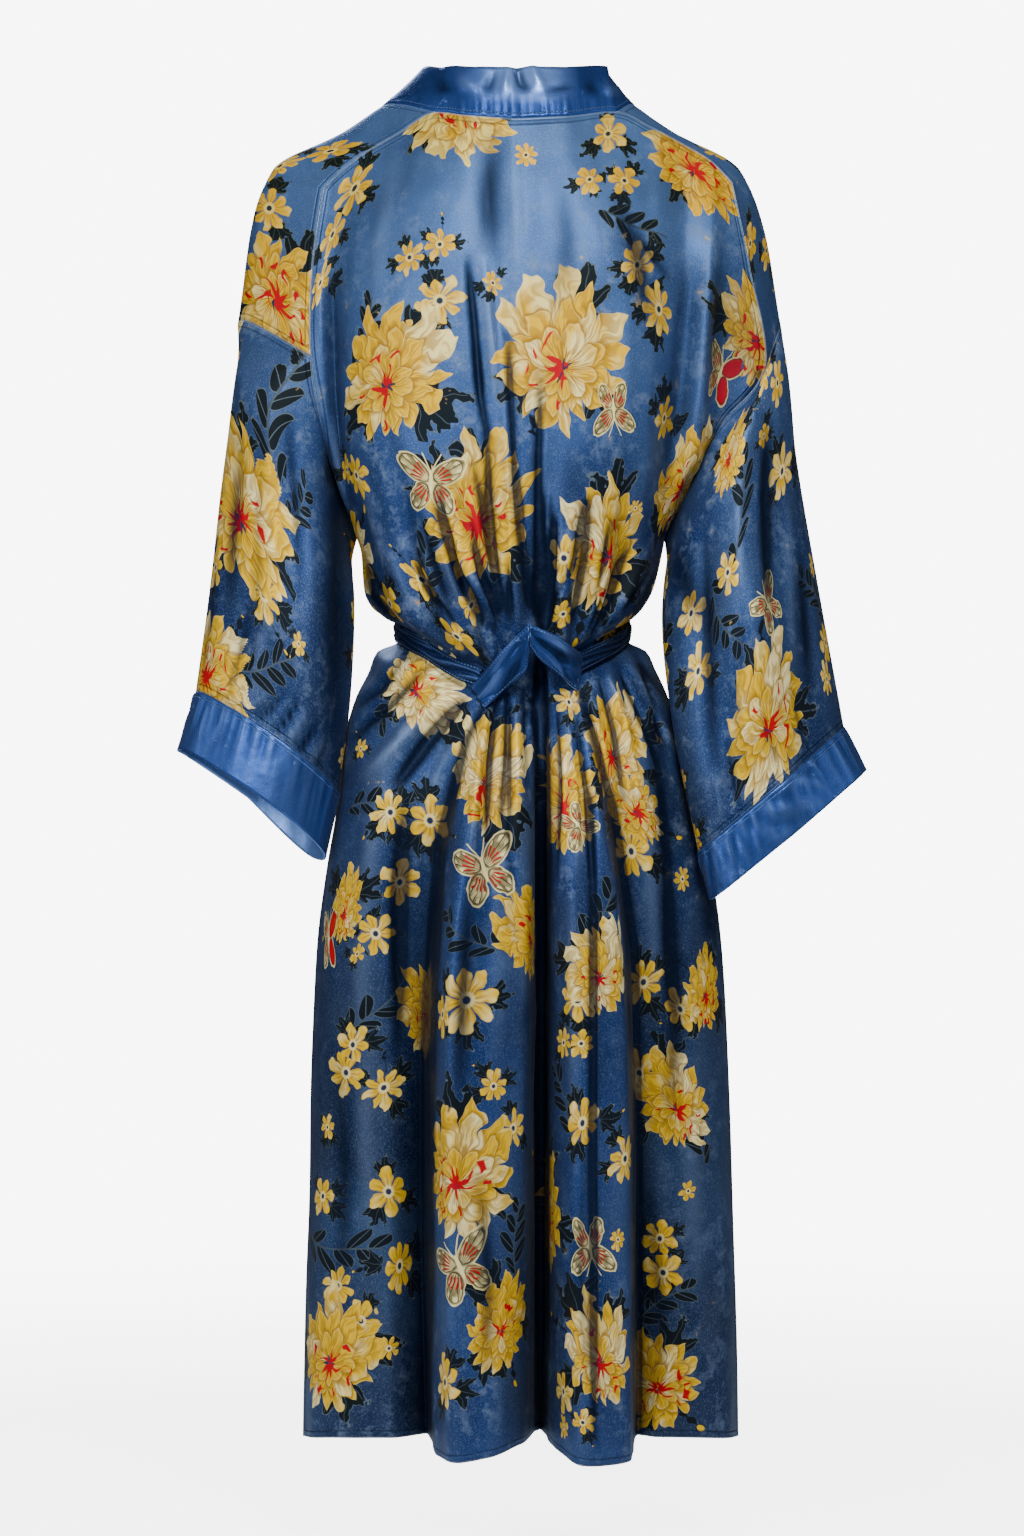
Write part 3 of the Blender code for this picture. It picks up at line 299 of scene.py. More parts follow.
# Creases as the photograph shows them, in its pixels: a trough where depth is under 0, else a ridge.
# Each row is the half width in pixels, the depth in mm and the points of the line.
BACK_CREASES = [
    (12, -1.1, ((490, 135), (487, 200), (492, 262))), (9, 0.6, ((516, 130), (514, 250), (516, 330))),
    (4, -1.6, ((476, 350), (481, 400), (488, 440))),
    (5, 1.6, ((505, 400), (509, 470), (514, 560), (518, 615))),
    (4, -1.8, ((541, 380), (538, 460), (538, 560), (536, 612))),
    (4, -1.8, ((487, 430), (489, 500), (494, 560), (500, 610))),
    (6, -2.0, ((452, 560), (466, 592), (484, 625))), (5, 1.8, ((440, 545), (456, 590), (470, 622))),
    (4, -1.5, ((420, 520), (436, 570), (452, 612))), (4, 1.3, ((400, 540), (420, 585), (440, 618))),
    (3, -1.4, ((470, 520), (482, 570), (500, 612))), (3, 1.4, ((524, 520), (526, 570), (527, 612))),
    (3, -1.3, ((552, 500), (552, 560), (548, 614))), (3, 1.5, ((562, 520), (560, 570), (556, 618))),
    (4, -1.8, ((590, 500), (584, 560), (572, 622))), (4, 1.6, ((602, 530), (596, 580), (584, 628))),
    (4, -1.6, ((630, 540), (612, 590), (596, 630))), (4, 1.3, ((650, 540), (630, 590), (612, 630))),
    (3, -1.3, ((664, 560), (645, 600), (628, 632))), (5, -1.2, ((340, 520), (360, 560), (390, 600))),
    (5, 1.2, ((360, 470), (380, 540), (410, 600))), (11, -0.7, ((560, 180), (566, 240), (562, 300))),
    (10, -1.2, ((620, 200), (640, 260), (650, 330))), (8, 1.0, ((395, 160), (380, 240), (375, 300))),
    (4, -0.9, ((640, 235), (670, 280))), (5, 1.4, ((332, 420), (340, 470), (352, 530))),
    (4, -1.4, ((322, 440), (330, 500), (345, 560))), (4, -1.4, ((690, 470), (676, 530), (655, 590))),
    (5, 1.4, ((700, 440), (690, 520), (668, 590))), (6, -3.0, ((462, 702), (430, 738), (392, 790))),
    (7, 2.6, ((448, 690), (414, 726), (368, 776))), (5, -1.6, ((425, 668), (395, 700), (350, 742))),
    (6, 1.4, ((470, 715), (440, 770), (420, 840))), (4, -1.2, ((405, 655), (380, 690), (350, 712))),
    (10, -1.2, ((400, 820), (395, 900), (400, 980))), (4, 1.8, ((590, 690), (602, 740), (612, 800))),
    (3, -1.8, ((598, 672), (614, 730), (624, 800))), (3, 1.5, ((606, 664), (624, 720), (640, 800))),
    (3, -1.5, ((614, 658), (636, 706), (660, 770))), (3, 1.3, ((622, 652), (650, 700), (680, 760))),
    (3, -1.2, ((630, 648), (660, 690), (690, 735))), (3, -2.0, ((497, 700), (490, 760), (487, 830))),
    (3, 1.8, ((488, 710), (478, 770), (472, 850))), (3, -1.5, ((508, 700), (506, 760), (500, 830))),
    (4, 1.6, ((516, 700), (517, 780), (514, 860))), (3, -1.7, ((524, 690), (527, 750), (527, 820))),
    (3, -1.6, ((556, 700), (560, 780), (556, 880))), (4, 1.6, ((564, 700), (574, 780), (578, 880))),
    (3, -1.6, ((574, 710), (586, 790), (592, 880))), (9, -1.4, ((470, 880), (462, 1000), (460, 1100))),
    (9, 1.2, ((500, 860), (500, 960), (495, 1060))), (8, -1.2, ((480, 1180), (490, 1280), (486, 1380))),
    (6, 1.0, ((570, 900), (574, 1000), (572, 1120))), (6, -1.1, ((585, 1140), (580, 1260), (586, 1380))),
    (10, 1.2, ((370, 1000), (366, 1120), (372, 1240))),
    (10, -1.2, ((338, 1050), (344, 1180), (340, 1300))),
    (10, -1.2, ((670, 900), (676, 1010), (672, 1120))),
    (9, 1.1, ((694, 1060), (690, 1180), (696, 1300))),
    (8, -1.0, ((650, 1200), (660, 1300), (656, 1400))), (4, -2.0, ((468, 262), (474, 320), (480, 392))),
    (6, 1.6, ((484, 262), (490, 330), (496, 400))), (4, -2.2, ((516, 470), (524, 540), (530, 606))),
    (4, -2.4, ((436, 505), (456, 570), (482, 626))), (4, 2.2, ((446, 500), (466, 566), (492, 622))),
    (4, -2.4, ((556, 520), (552, 575), (545, 620))), (4, 2.0, ((574, 500), (566, 560), (556, 618))),
    (4, -2.0, ((612, 520), (600, 575), (584, 626))), (6, -3.0, ((541, 720), (541, 850), (541, 1000))),
    (6, -2.6, ((541, 960), (540, 1180), (540, 1400))), (6, 1.8, ((528, 730), (527, 860), (526, 1000))),
    (9, 1.6, ((380, 770), (366, 900), (360, 1040))), (8, -1.8, ((404, 800), (400, 930), (398, 1060))),
    (8, -1.6, ((655, 720), (668, 860), (672, 1000))), (8, 1.5, ((640, 730), (650, 860), (654, 1000))),
    (6, -2.6, ((541, 636), (541, 680), (541, 740))), (3, -2.0, ((508, 560), (510, 590), (512, 618))),
    (3, -2.2, ((524, 540), (526, 580), (528, 614))), (4, -2.4, ((546, 540), (544, 590), (542, 626))),
    (3, -2.0, ((566, 560), (558, 595), (548, 624))), (3, -2.0, ((470, 540), (482, 580), (498, 622))),
    (3, -1.8, ((620, 560), (604, 600), (588, 632))), (4, -2.2, ((412, 560), (432, 596), (458, 628))),
    (3, -1.6, ((648, 575), (626, 606), (606, 632))), (3, 1.6, ((606, 676), (618, 706), (630, 744))),
    (3, -1.6, ((640, 664), (652, 700), (664, 744))), (3, 1.4, ((648, 662), (664, 694), (680, 740))),
    (5, -1.8, ((352, 560), (372, 596), (400, 624))),
]
SLEEVE_CREASES = [
    (6, 1.8, ((322, 210), (318, 300), (322, 400))), (5, -1.8, ((335, 310), (332, 400), (334, 480))),
    (5, -1.2, ((290, 420), (296, 500), (300, 600))), (6, 1.2, ((270, 380), (268, 470), (262, 560))),
    (8, -1.4, ((240, 440), (232, 530), (226, 620))), (6, -1.0, ((215, 560), (206, 620), (200, 680))),
    (3, -1.8, ((300, 700), (286, 722), (272, 738))), (3, 1.6, ((308, 712), (294, 734), (284, 752))),
    (3, -1.6, ((318, 724), (304, 746), (294, 762))), (3, 1.5, ((324, 738), (314, 756), (306, 770))),
    (3, -1.4, ((286, 690), (268, 712), (252, 722))), (3, 1.2, ((270, 690), (252, 706), (236, 712))),
    (4, -1.0, ((250, 600), (240, 650), (226, 700))), (4, 1.0, ((262, 620), (256, 670), (244, 712))),
    (5, -1.6, ((727, 236), (720, 290), (712, 334))), (5, 1.5, ((714, 236), (707, 310), (702, 407))),
    (5, -1.5, ((690, 300), (682, 383), (668, 456))), (5, -1.3, ((770, 420), (766, 500), (770, 600))),
    (6, 1.3, ((745, 430), (738, 520), (742, 620))), (6, -1.3, ((800, 540), (806, 620), (812, 700))),
    (5, 1.0, ((786, 500), (790, 590), (792, 680))), (3, -1.2, ((760, 700), (768, 735), (778, 768))),
    (3, 1.2, ((744, 720), (752, 760), (760, 790))), (3, -1.2, ((728, 740), (734, 790), (740, 810))),
    (3, 1.0, ((716, 770), (720, 800), (722, 822))), (3, -1.0, ((790, 690), (800, 725), (808, 748))),
    (12, -1.2, ((337, 345), (336, 450), (337, 560), (335, 680), (338, 770))),
    (13, -1.2, ((674, 545), (682, 580), (694, 620))),
    (6, -1.2, ((704, 540), (707, 640), (712, 740), (722, 800))),
    (7, -0.8, ((741, 470), (743, 580), (738, 700), (744, 780))),
]
COLLAR_CREASES = [
    (5, -1.2, ((516, 66), (521, 82), (530, 94))), (5, 1.2, ((530, 66), (536, 80), (544, 90))),
    (4, -1.1, ((534, 96), (550, 92), (572, 86))), (4, 1.0, ((534, 104), (552, 101), (576, 98))),
    (4, -1.1, ((540, 98), (550, 108), (562, 118))), (4, 0.9, ((528, 100), (534, 110), (540, 119))),
    (4, -1.0, ((524, 98), (514, 106), (504, 116))), (4, 0.9, ((508, 70), (505, 88), (498, 106))),
    (5, -0.8, ((494, 72), (488, 90), (478, 110))), (8, -0.9, ((438, 80), (446, 94), (458, 106))),
    (8, 0.9, ((462, 74), (468, 90), (478, 106))), (7, -0.8, ((588, 80), (594, 94), (592, 108))),
    (7, 0.8, ((606, 86), (612, 98), (612, 110))),
]
TIE_CREASES = [
    (5, 0.7, ((516, 640), (500, 668), (482, 696))), (3, -0.7, ((524, 634), (506, 660), (484, 686))),
    (4, -0.9, ((526, 644), (516, 668), (498, 702))), (3, -1.2, ((533, 636), (548, 648), (567, 663))),
    (4, 0.8, ((540, 632), (557, 644), (574, 658))), (3, -0.6, ((546, 640), (560, 652), (574, 668))),
    (3, -0.8, ((562, 668), (568, 678), (575, 690))), (3, 0.6, ((548, 656), (560, 668), (570, 684))),
]
# Sharp pleats in the photograph's pixels: half width of the steep side, of the soft side, which side is
# soft, 1 for the right and -1 for the left, the height in mm, and the points of the line
BACK_PLEATS = [
    (3, 24, 1, 13.0, ((487, 712), (472, 742), (447, 850), (438, 1000), (436, 1200), (435, 1436))),
    (3, 20, -1, 11.0, ((577, 700), (604, 800), (626, 950), (629, 1150), (629, 1436))),
    (2.5, 12, 1, 5.4, ((596, 800), (598, 950), (598, 1150), (599, 1436))),
    (3, 20, -1, 5.0, ((528, 706), (537, 760), (538, 900), (538, 1150), (537, 1436))),
    (2.5, 12, -1, 3.0, ((503, 698), (505, 780), (506, 880))),
    (2.5, 14, 1, 3.0, ((548, 690), (552, 780), (554, 900))),
    (2.5, 16, -1, 4.2, ((503, 340), (507, 450), (512, 560), (518, 618))),
    (2.5, 14, -1, 4.6, ((436, 500), (458, 570), (488, 626))),
    (2.5, 14, 1, 4.4, ((590, 505), (574, 570), (552, 622))),
    (2.5, 12, -1, 3.6, ((470, 470), (484, 550), (504, 620))),
    (2.5, 12, 1, 3.8, ((548, 500), (546, 560), (540, 620))),
    (3, 18, 1, 3.0, ((352, 700), (330, 800), (318, 940))),
    (3, 18, -1, 2.6, ((668, 690), (690, 790), (704, 920))),
]
SLEEVE_PLEATS = [
    (3, 14, -1, 2.6, ((332, 240), (326, 350), (326, 470))),
    (3, 14, 1, 2.4, ((716, 236), (708, 330), (696, 440))),
    (3, 16, 1, 2.2, ((276, 380), (270, 500), (262, 620))),
    (3, 16, -1, 2.2, ((756, 420), (758, 540), (764, 660))),
]
# Creases on the sides that the photograph doesn't show, in mm across and up as seen from the front:
# body ones down from the shoulders, the chest and the belt, and sleeve ones down their fronts
FRONT_CREASES = [
    (8, -2.0, ((150, -60), (132, -180), (118, -300))), (7, 2.0, ((128, -80), (112, -210), (104, -330))),
    (7, -1.8, ((-146, -60), (-128, -170), (-116, -310))),
    (8, 2.0, ((-122, -80), (-110, -200), (-98, -320))), (6, -1.8, ((90, -250), (80, -340), (70, -440))),
    (6, 1.6, ((60, -260), (56, -350), (50, -440))), (5, -1.6, ((110, -330), (100, -390), (88, -446))),
    (5, 1.6, ((120, -370), (108, -410), (96, -448))), (6, -1.8, ((-88, -240), (-80, -350), (-66, -440))),
    (6, 1.6, ((-62, -270), (-58, -350), (-46, -440))),
    (5, -1.6, ((-112, -340), (-100, -400), (-84, -446))),
    (5, 1.6, ((-122, -360), (-106, -412), (-94, -448))), (5, -2.0, ((80, -474), (92, -540), (98, -640))),
    (6, 2.0, ((64, -474), (70, -560), (72, -680))), (6, -1.8, ((46, -476), (50, -580), (48, -720))),
    (5, 1.6, ((30, -474), (30, -540), (28, -640))), (5, -2.0, ((-82, -474), (-94, -550), (-102, -660))),
    (6, 2.0, ((-66, -474), (-72, -550), (-76, -700))),
    (6, -1.8, ((-44, -474), (-50, -560), (-52, -680))),
    (12, -2.0, ((120, -700), (126, -860), (122, -1000))),
    (12, 2.0, ((88, -760), (90, -900), (94, -1080))), (10, -1.6, ((60, -900), (56, -1020), (60, -1150))),
    (12, -2.0, ((-120, -720), (-128, -850), (-124, -1010))),
    (12, 2.0, ((-90, -740), (-88, -900), (-92, -1060))),
    (10, -1.6, ((-58, -880), (-60, -1000), (-56, -1140))),
]
FRONT_SLEEVE_CREASES = [
    (8, -1.8, ((200, -190), (206, -280), (204, -380))),
    (7, 1.8, ((222, -200), (228, -300), (226, -400))),
    (8, -1.6, ((176, -300), (186, -400), (196, -490))),
    (7, 1.6, ((206, -380), (222, -460), (240, -540))),
    (5, -1.4, ((230, -470), (236, -520), (246, -570))),
    (5, 1.4, ((200, -480), (212, -530), (222, -580))),
    (8, -1.8, ((-198, -180), (-204, -290), (-206, -390))),
    (7, 1.8, ((-220, -200), (-230, -300), (-232, -410))),
    (8, -1.6, ((-178, -310), (-190, -410), (-204, -510))),
    (7, 1.6, ((-208, -390), (-226, -470), (-246, -560))),
    (5, -1.4, ((-232, -480), (-240, -540), (-252, -600))),
    (5, 1.4, ((-200, -500), (-212, -550), (-228, -600))),
]
# Creases seen from one side come in as the cloth turns to face that side, between these
FACING = (0.05, 0.35)
# What the depth of every crease is multiplied by, and that of the collar band and the tie besides
CREASE_GAIN = 2.2
TRIM_GAIN = 1.5
# Creases and pleats swell from their ends to their middle: the share left out at each end, and a power
CREASE_SWELL = (0.05, 0.7)
PLEAT_SWELL = (0.06, 0.6)
# The collar's creases behind the neck come in between these levels
NECK_CREASES_Z = (0.0, 0.012)
# Slight unevenness all over: how many waves, their depth in mm, and their spacings across and down
DRAPE_WAVES = 14
DRAPE_DEPTH = 0.55
DRAPE_ACROSS = (0.030, 0.110)
DRAPE_DOWN = (0.16, 0.60)
# Puckers along the sewn edges of the plain bands: depth in mm, reach and spacings in metres
PUCKER_DEPTH = {"cuff": 2.0, "collar": 0.9}
PUCKER_REACH = {"cuff": 0.034, "collar": 0.014}
PUCKER_SPACINGS = (0.0062, 0.0093, 0.0151)
# Each spacing's waves start at another place: its size times this
PUCKER_START = 900
# Lengthwise pleats of the belt and its ends: depth in mm, and how many across
PLEAT_DEPTH = {"belt": 1.1, "tie_left": 0.8, "tie_right": 0.8}
PLEATS = {"belt": 2.6, "tie_left": 1.8, "tie_right": 1.7}
# They wander: how far, in pleats, and how fast along and across the belt
PLEAT_DRIFT = 0.55
PLEAT_DRIFT_ALONG = 60.0
PLEAT_DRIFT_ACROSS = 2.0
# How far each point of the cloth stands out from the cloth round it, which sets the painted shade in
# deep folds: passes of smoothing, what a round body alone gives in mm, the range that counts in mm, and
# its weight against a crease's own depth
HOLLOW_PASSES = 90
HOLLOW_ROUND = 1.0
HOLLOW_RANGE = (-14.0, 4.0)
HOLLOW_WEIGHT = 0.16
# The shade in a sharp pleat's trough: the most of the pleat's height that counts for it in mm, and how
# far from the pleat it lies and reaches, in widths of the steep side
PLEAT_SHADE_MOST = 6.0
PLEAT_SHADE_AWAY = 2.1
PLEAT_SHADE_REACH = 1.8
# Where the cloth faces back by less than the second of these, its sharp pleats fade out
OUTWARD = (-0.25, 0.10)
# Distances from a sewn edge, in metres, between which sharp pleats come in, and every other crease
PLEAT_APART = (0.001, 0.016)
CREASE_APART = (0.0, 0.0035)

# The print's flowers and butterflies on the sides in the photograph: centre in pixels, half height in
# pixels, width against height, turn in degrees and tint, from 0 for golden to 1 for cream
PEONIES = [
    (452, 112, 52, 1.15, 185, 0.75), (388, 372, 70, 0.84, 8, 0.35), (560, 350, 76, 0.86, -6, 0.45),
    (490, 512, 74, 0.72, 14, 0.12), (607, 545, 70, 0.66, -14, 0.60), (688, 482, 62, 0.62, 10, 0.50),
    (284, 318, 78, 0.92, -20, 0.45), (236, 498, 80, 1.05, 12, 0.30), (212, 672, 56, 0.95, 40, 0.35),
    (776, 712, 68, 0.84, -12, 0.50), (700, 160, 60, 0.95, 30, 0.15), (752, 330, 58, 0.66, 14, 0.35),
    (425, 682, 46, 1.15, 20, 0.85), (488, 768, 62, 0.72, 12, 0.65), (558, 792, 58, 0.74, -16, 0.20),
    (620, 742, 60, 0.62, 8, 0.50), (528, 932, 50, 0.74, -30, 0.12), (600, 962, 48, 0.74, 18, 0.55),
    (708, 990, 44, 0.55, 4, 0.20), (422, 1010, 50, 0.62, -16, 0.10), (462, 1166, 66, 0.86, 22, 0.45),
    (548, 1206, 62, 0.68, -10, 0.15), (668, 1100, 52, 0.72, -20, 0.40), (330, 1348, 62, 0.80, 12, 0.35),
    (505, 1318, 50, 0.72, 22, 0.20), (596, 1352, 58, 0.62, -14, 0.55), (648, 1378, 52, 0.95, -58, 0.30),
    (636, 800, 46, 0.60, -26, 0.40), (344, 905, 40, 0.55, 10, 0.25), (727, 452, 40, 0.75, 10, 0.25),
]
BLOSSOMS = [
    (352, 188, 28, 1.00, 12, 0.40), (331, 148, 26, 0.80, 60, 0.15), (328, 236, 25, 0.70, 10, 0.35),
    (322, 280, 24, 0.55, 24, 0.45), (612, 131, 24, 0.95, 6, 0.60), (642, 262, 25, 0.80, 22, 0.55),
    (662, 308, 28, 0.75, -12, 0.25), (436, 300, 27, 1.00, 8, 0.50), (352, 478, 24, 1.00, -8, 0.15),
    (455, 640, 22, 0.95, 30, 0.10), (418, 580, 22, 0.95, -14, 0.15), (466, 605, 22, 0.55, 16, 0.10),
    (388, 606, 24, 0.90, 40, 0.05), (562, 562, 26, 0.62, -6, 0.40), (667, 420, 26, 0.70, 12, 0.10),
    (512, 742, 26, 0.70, 4, 0.45), (570, 700, 24, 0.60, -14, 0.40), (386, 815, 24, 0.90, 18, 0.35),
    (425, 822, 28, 0.95, -10, 0.30), (402, 884, 26, 0.85, 24, 0.30), (376, 935, 25, 0.85, -18, 0.25),
    (633, 850, 30, 0.70, 4, 0.30), (470, 1000, 34, 0.95, 30, 0.45), (440, 1012, 24, 0.70, -10, 0.35),
    (574, 1003, 26, 0.90, 0, 0.45), (648, 985, 28, 0.75, 20, 0.30), (684, 1008, 26, 0.70, -24, 0.40),
    (352, 1046, 24, 0.85, 14, 0.25), (344, 1072, 26, 0.90, -22, 0.30), (382, 1088, 26, 0.80, 40, 0.30),
    (516, 1128, 22, 0.75, 10, 0.35), (388, 1196, 26, 0.85, -6, 0.20), (322, 1196, 22, 0.80, 12, 0.25),
    (584, 1120, 28, 0.62, 10, 0.30), (640, 1078, 26, 0.85, -14, 0.25), (628, 1160, 28, 0.80, 24, 0.45),
    (663, 1240, 22, 0.85, 4, 0.25), (665, 1274, 24, 0.90, -20, 0.20), (335, 1290, 22, 0.90, 16, 0.25),
    (357, 1318, 24, 0.90, -18, 0.20), (402, 1270, 30, 0.62, 6, 0.20), (440, 1382, 30, 0.85, 22, 0.40),
    (562, 1390, 24, 0.90, 8, 0.45), (268, 205, 30, 0.80, 10, 0.30), (752, 240, 26, 0.70, 10, 0.30),
    (780, 384, 22, 0.70, -10, 0.30), (724, 572, 24, 0.75, 20, 0.35), (828, 676, 20, 0.55, 0, 0.35),
    (768, 372, 24, 0.72, 0, 0.25), (784, 470, 28, 0.80, -12, 0.45), (264, 592, 30, 0.95, -6, 0.35),
    (690, 610, 26, 0.78, 12, 0.55), (696, 668, 26, 0.78, -16, 0.50), (198, 560, 22, 0.80, 12, 0.30),
    (836, 640, 22, 0.70, 6, 0.30), (272, 150, 24, 0.70, 30, 0.35), (772, 250, 26, 0.62, 4, 0.35),
]
DAISIES = [
    (405, 256, 19, 0.95, 0, 0.15), (438, 246, 18, 0.95, 40, 0.15), (594, 177, 17, 1.00, 10, 0.10),
    (628, 178, 19, 1.00, -12, 0.10), (529, 152, 15, 0.90, 20, 0.25), (497, 282, 14, 0.70, -20, 0.10),
    (343, 472, 18, 0.60, 16, 0.20), (564, 618, 15, 1.00, 0, 0.10), (637, 506, 10, 0.80, 20, 0.20),
    (360, 745, 13, 0.80, 30, 0.30), (438, 706, 14, 0.90, 0, 0.15), (497, 1088, 17, 0.90, 10, 0.10),
    (560, 1040, 16, 0.90, -16, 0.10), (585, 1042, 15, 0.90, 24, 0.15), (562, 1424, 14, 0.90, 8, 0.15),
    (586, 1424, 14, 0.90, -8, 0.15), (356, 955, 13, 0.70, 30, 0.15), (684, 880, 14, 0.80, 20, 0.15),
    (324, 1130, 14, 0.80, 0, 0.15), (392, 1346, 14, 0.90, 20, 0.20), (690, 1190, 12, 0.80, 16, 0.20),
    (766, 440, 14, 0.80, 20, 0.20), (302, 640, 12, 0.80, 10, 0.20), (820, 560, 14, 0.60, 0, 0.20),
    (620, 1240, 12, 0.80, 0, 0.20),
]
BUTTERFLIES = [
    (427, 484, 34, 1.00, 4, 0.30), (617, 408, 30, 0.70, 176, 0.45), (486, 870, 36, 1.00, -24, 0.40),
    (462, 1268, 36, 1.00, -22, 0.35), (594, 1250, 32, 0.75, 172, 0.30), (722, 372, 34, 0.62, 12, 0.75),
    (578, 822, 24, 0.80, 150, 0.40), (324, 940, 34, 0.50, -10, 0.70), (768, 602, 30, 0.80, 20, 0.40),
]
# Twigs of dark leaves, in the same columns
SPRAYS = [
    (272, 402, 70, 0.80, -28, 0.30), (300, 500, 40, 0.80, 20, 0.30), (256, 578, 36, 0.85, 150, 0.30),
    (268, 668, 46, 0.80, 60, 0.30), (742, 500, 52, 0.70, -10, 0.30), (722, 620, 46, 0.80, 200, 0.30),
    (815, 590, 40, 0.70, 30, 0.30), (800, 455, 34, 0.70, 160, 0.30), (400, 690, 44, 0.80, 200, 0.30),
    (606, 600, 46, 0.70, -30, 0.30), (424, 566, 44, 0.70, 20, 0.30), (468, 930, 46, 0.75, -60, 0.30),
    (600, 930, 54, 0.70, 20, 0.30), (372, 1008, 50, 0.75, 40, 0.30), (560, 1100, 42, 0.80, -30, 0.30),
    (336, 1250, 52, 0.75, 100, 0.30), (690, 1120, 46, 0.70, -20, 0.30), (660, 1310, 46, 0.75, 60, 0.30),
    (520, 1240, 42, 0.70, 0, 0.30), (376, 800, 44, 0.75, 70, 0.30), (640, 220, 40, 0.80, 100, 0.30),
    (362, 330, 40, 0.75, 20, 0.30),
]
PLACED = {
    "peony": PEONIES, "blossom": BLOSSOMS, "daisy": DAISIES, "butterfly": BUTTERFLIES, "spray": SPRAYS,
}
# How a hidden side is strewn: half height and distance to the next one of its kind, in mm
STREWN = {
    "peony": (52, 122),
    "butterfly": (28, 250),
    "blossom": (21, 60),
    "daisy": (14, 62),
    "spray": (40, 190),
}
# Each side's tries for each kind, what its sizes are multiplied by, and its slimness, turn and tint
STREWN_TRIES = 900
STREWN_SIZES = (0.85, 1.15)
STREWN_SLIMS = (0.65, 0.95)
STREWN_TURNS = (-60, 60)
STREWN_TINTS = (0.1, 0.7)
# How near a motif of another kind may lie, against the sum of the two half heights
STREWN_NEAR = 0.8
# Cloth shows in the photograph where it faces back by more than this
SHOWN_OVER = 0.12
# A motif takes the nearest layer of cloth within this many pixels of its place
SAME_SPOT_PX = 3.0
# The seed of every draw, how many seeds the motifs' drawings have, and the range of tints
SEED = 7
MOTIF_SEEDS = 97
TINT_RANGE = (0.01, 0.99)

# Print layers from the lowest to the highest, with how many of each can overlap
LAYERS = {
    "spray": 1,
    "leaves": 2,
    "daisy": 1,
    "blossom": 2,
    "peony": 2,
    "butterfly": 1,
}
# Each drawing from the lowest to the highest, and the layers that it is drawn for
PRINT_ORDER = (
    ("spray", ("spray_0",)),
    ("leaves", ("leaves_0", "leaves_1")),
    ("flower", ("daisy_0", "blossom_0", "blossom_1")),
    ("peony", ("peony_0", "peony_1")),
    ("butterfly", ("butterfly_0",)),
)
# How far each kind's drawing reaches, against its half height
REACHES = {
    "spray": 1.15, "leaves": 1.05, "daisy": 1.15, "blossom": 1.15, "peony": 1.35, "butterfly": 1.25,
}
# The leaves' size against their flower's, and the share of each kind's flowers that have leaves
LEAF_SPREAD = {"peony": 1.45, "blossom": 1.70, "daisy": 1.80}
LEAFY = {"peony": 0.97, "blossom": 0.75, "daisy": 0.55}
# A place that no drawing reaches, for cloth without a motif, and how clear an empty layer counts as
FAR = 9.0


def cubic(values, tangents, place, t, step):
    """The curve between the values at a place and the next one, at a share of the step between them."""
    return (
        values[place] * (2 * t**3 - 3 * t**2 + 1)
        + tangents[place] * step * (t**3 - 2 * t**2 + t)
        + values[place + 1] * (3 * t**2 - 2 * t**3)
        + tangents[place + 1] * step * (t**3 - t**2)
    )


def through(knots, values, at):
    """A smooth curve through the values that never overshoots them, read at the given places."""
    knots = np.asarray(knots, float)
    values = np.asarray(values, float)
    if knots[0] > knots[-1]:
        knots = knots[::-1]
        values = values[::-1]
    at = np.clip(np.asarray(at, float), knots[0], knots[-1])
    gaps = np.diff(knots)
    flat = values.reshape(len(knots), -1)
    slopes = np.diff(flat, axis=0) / gaps[:, None]
    tangents = np.zeros_like(flat)
    tangents[0] = slopes[0]
    tangents[-1] = slopes[-1]
    before = slopes[:-1]
    after = slopes[1:]
    weight_a = (2 * gaps[1:] + gaps[:-1])[:, None]
    weight_b = (gaps[1:] + 2 * gaps[:-1])[:, None]
    same = before * after > 0
    safe_before = np.where(same, before, 1.0)
    safe_after = np.where(same, after, 1.0)
    mean = (weight_a + weight_b) / (weight_a / safe_before + weight_b / safe_after)
    tangents[1:-1] = np.where(same, mean, 0.0)
    place = np.clip(np.searchsorted(knots, at, side="right") - 1, 0, len(gaps) - 1)
    step = gaps[place][..., None]
    t = ((at - knots[place]) / gaps[place])[..., None]
    return cubic(flat, tangents, place, t, step).reshape(at.shape + values.shape[1:])


def ramp(value, low, high):
    """0 at low, 1 at high, smooth in between."""
    t = np.clip((np.asarray(value, float) - low) / (high - low), 0, 1)
    return t * t * (3 - 2 * t)


def between(value, places):
    """0 up to the first of four places, 1 between the next two, 0 past the last."""
    return ramp(value, places[0], places[1]) * (1 - ramp(value, places[2], places[3]))


def section_size(column, z):
    """A size of the body at a level, in metres."""
    table = np.array(SECTIONS, float) * MM
    return through(table[:, 0], table[:, SECTION_COLUMNS.index(column)], z)


def fold_column(name):
    """One column of the fold table."""
    return np.array([row[FOLD_COLUMNS.index(name)] for row in FOLDS], float)


def back_shares():
    """The columns of the back, from the left side seam to the right."""
    shares = fold_column("share")
    columns = []
    for first, second in zip(shares[:-1], shares[1:]):
        inner = min(abs(first), abs(second))
        steps = FOLD_STEPS if inner < SIDE_SHARE else SIDE_STEPS
        for step in range(steps):
            columns.append(first + (second - first) * step / steps)
    return np.array(columns + [shares[-1]])


def body_levels():
    """The levels of the rows below the armpits."""
    levels = []
    for (top, _), (bottom, step) in zip(ROW_STEPS[:-1], ROW_STEPS[1:]):
        count = round((top - bottom) / step)
        levels += [top + (bottom - top) * (k + 1) / count for k in range(count)]
    return np.array(levels) * MM


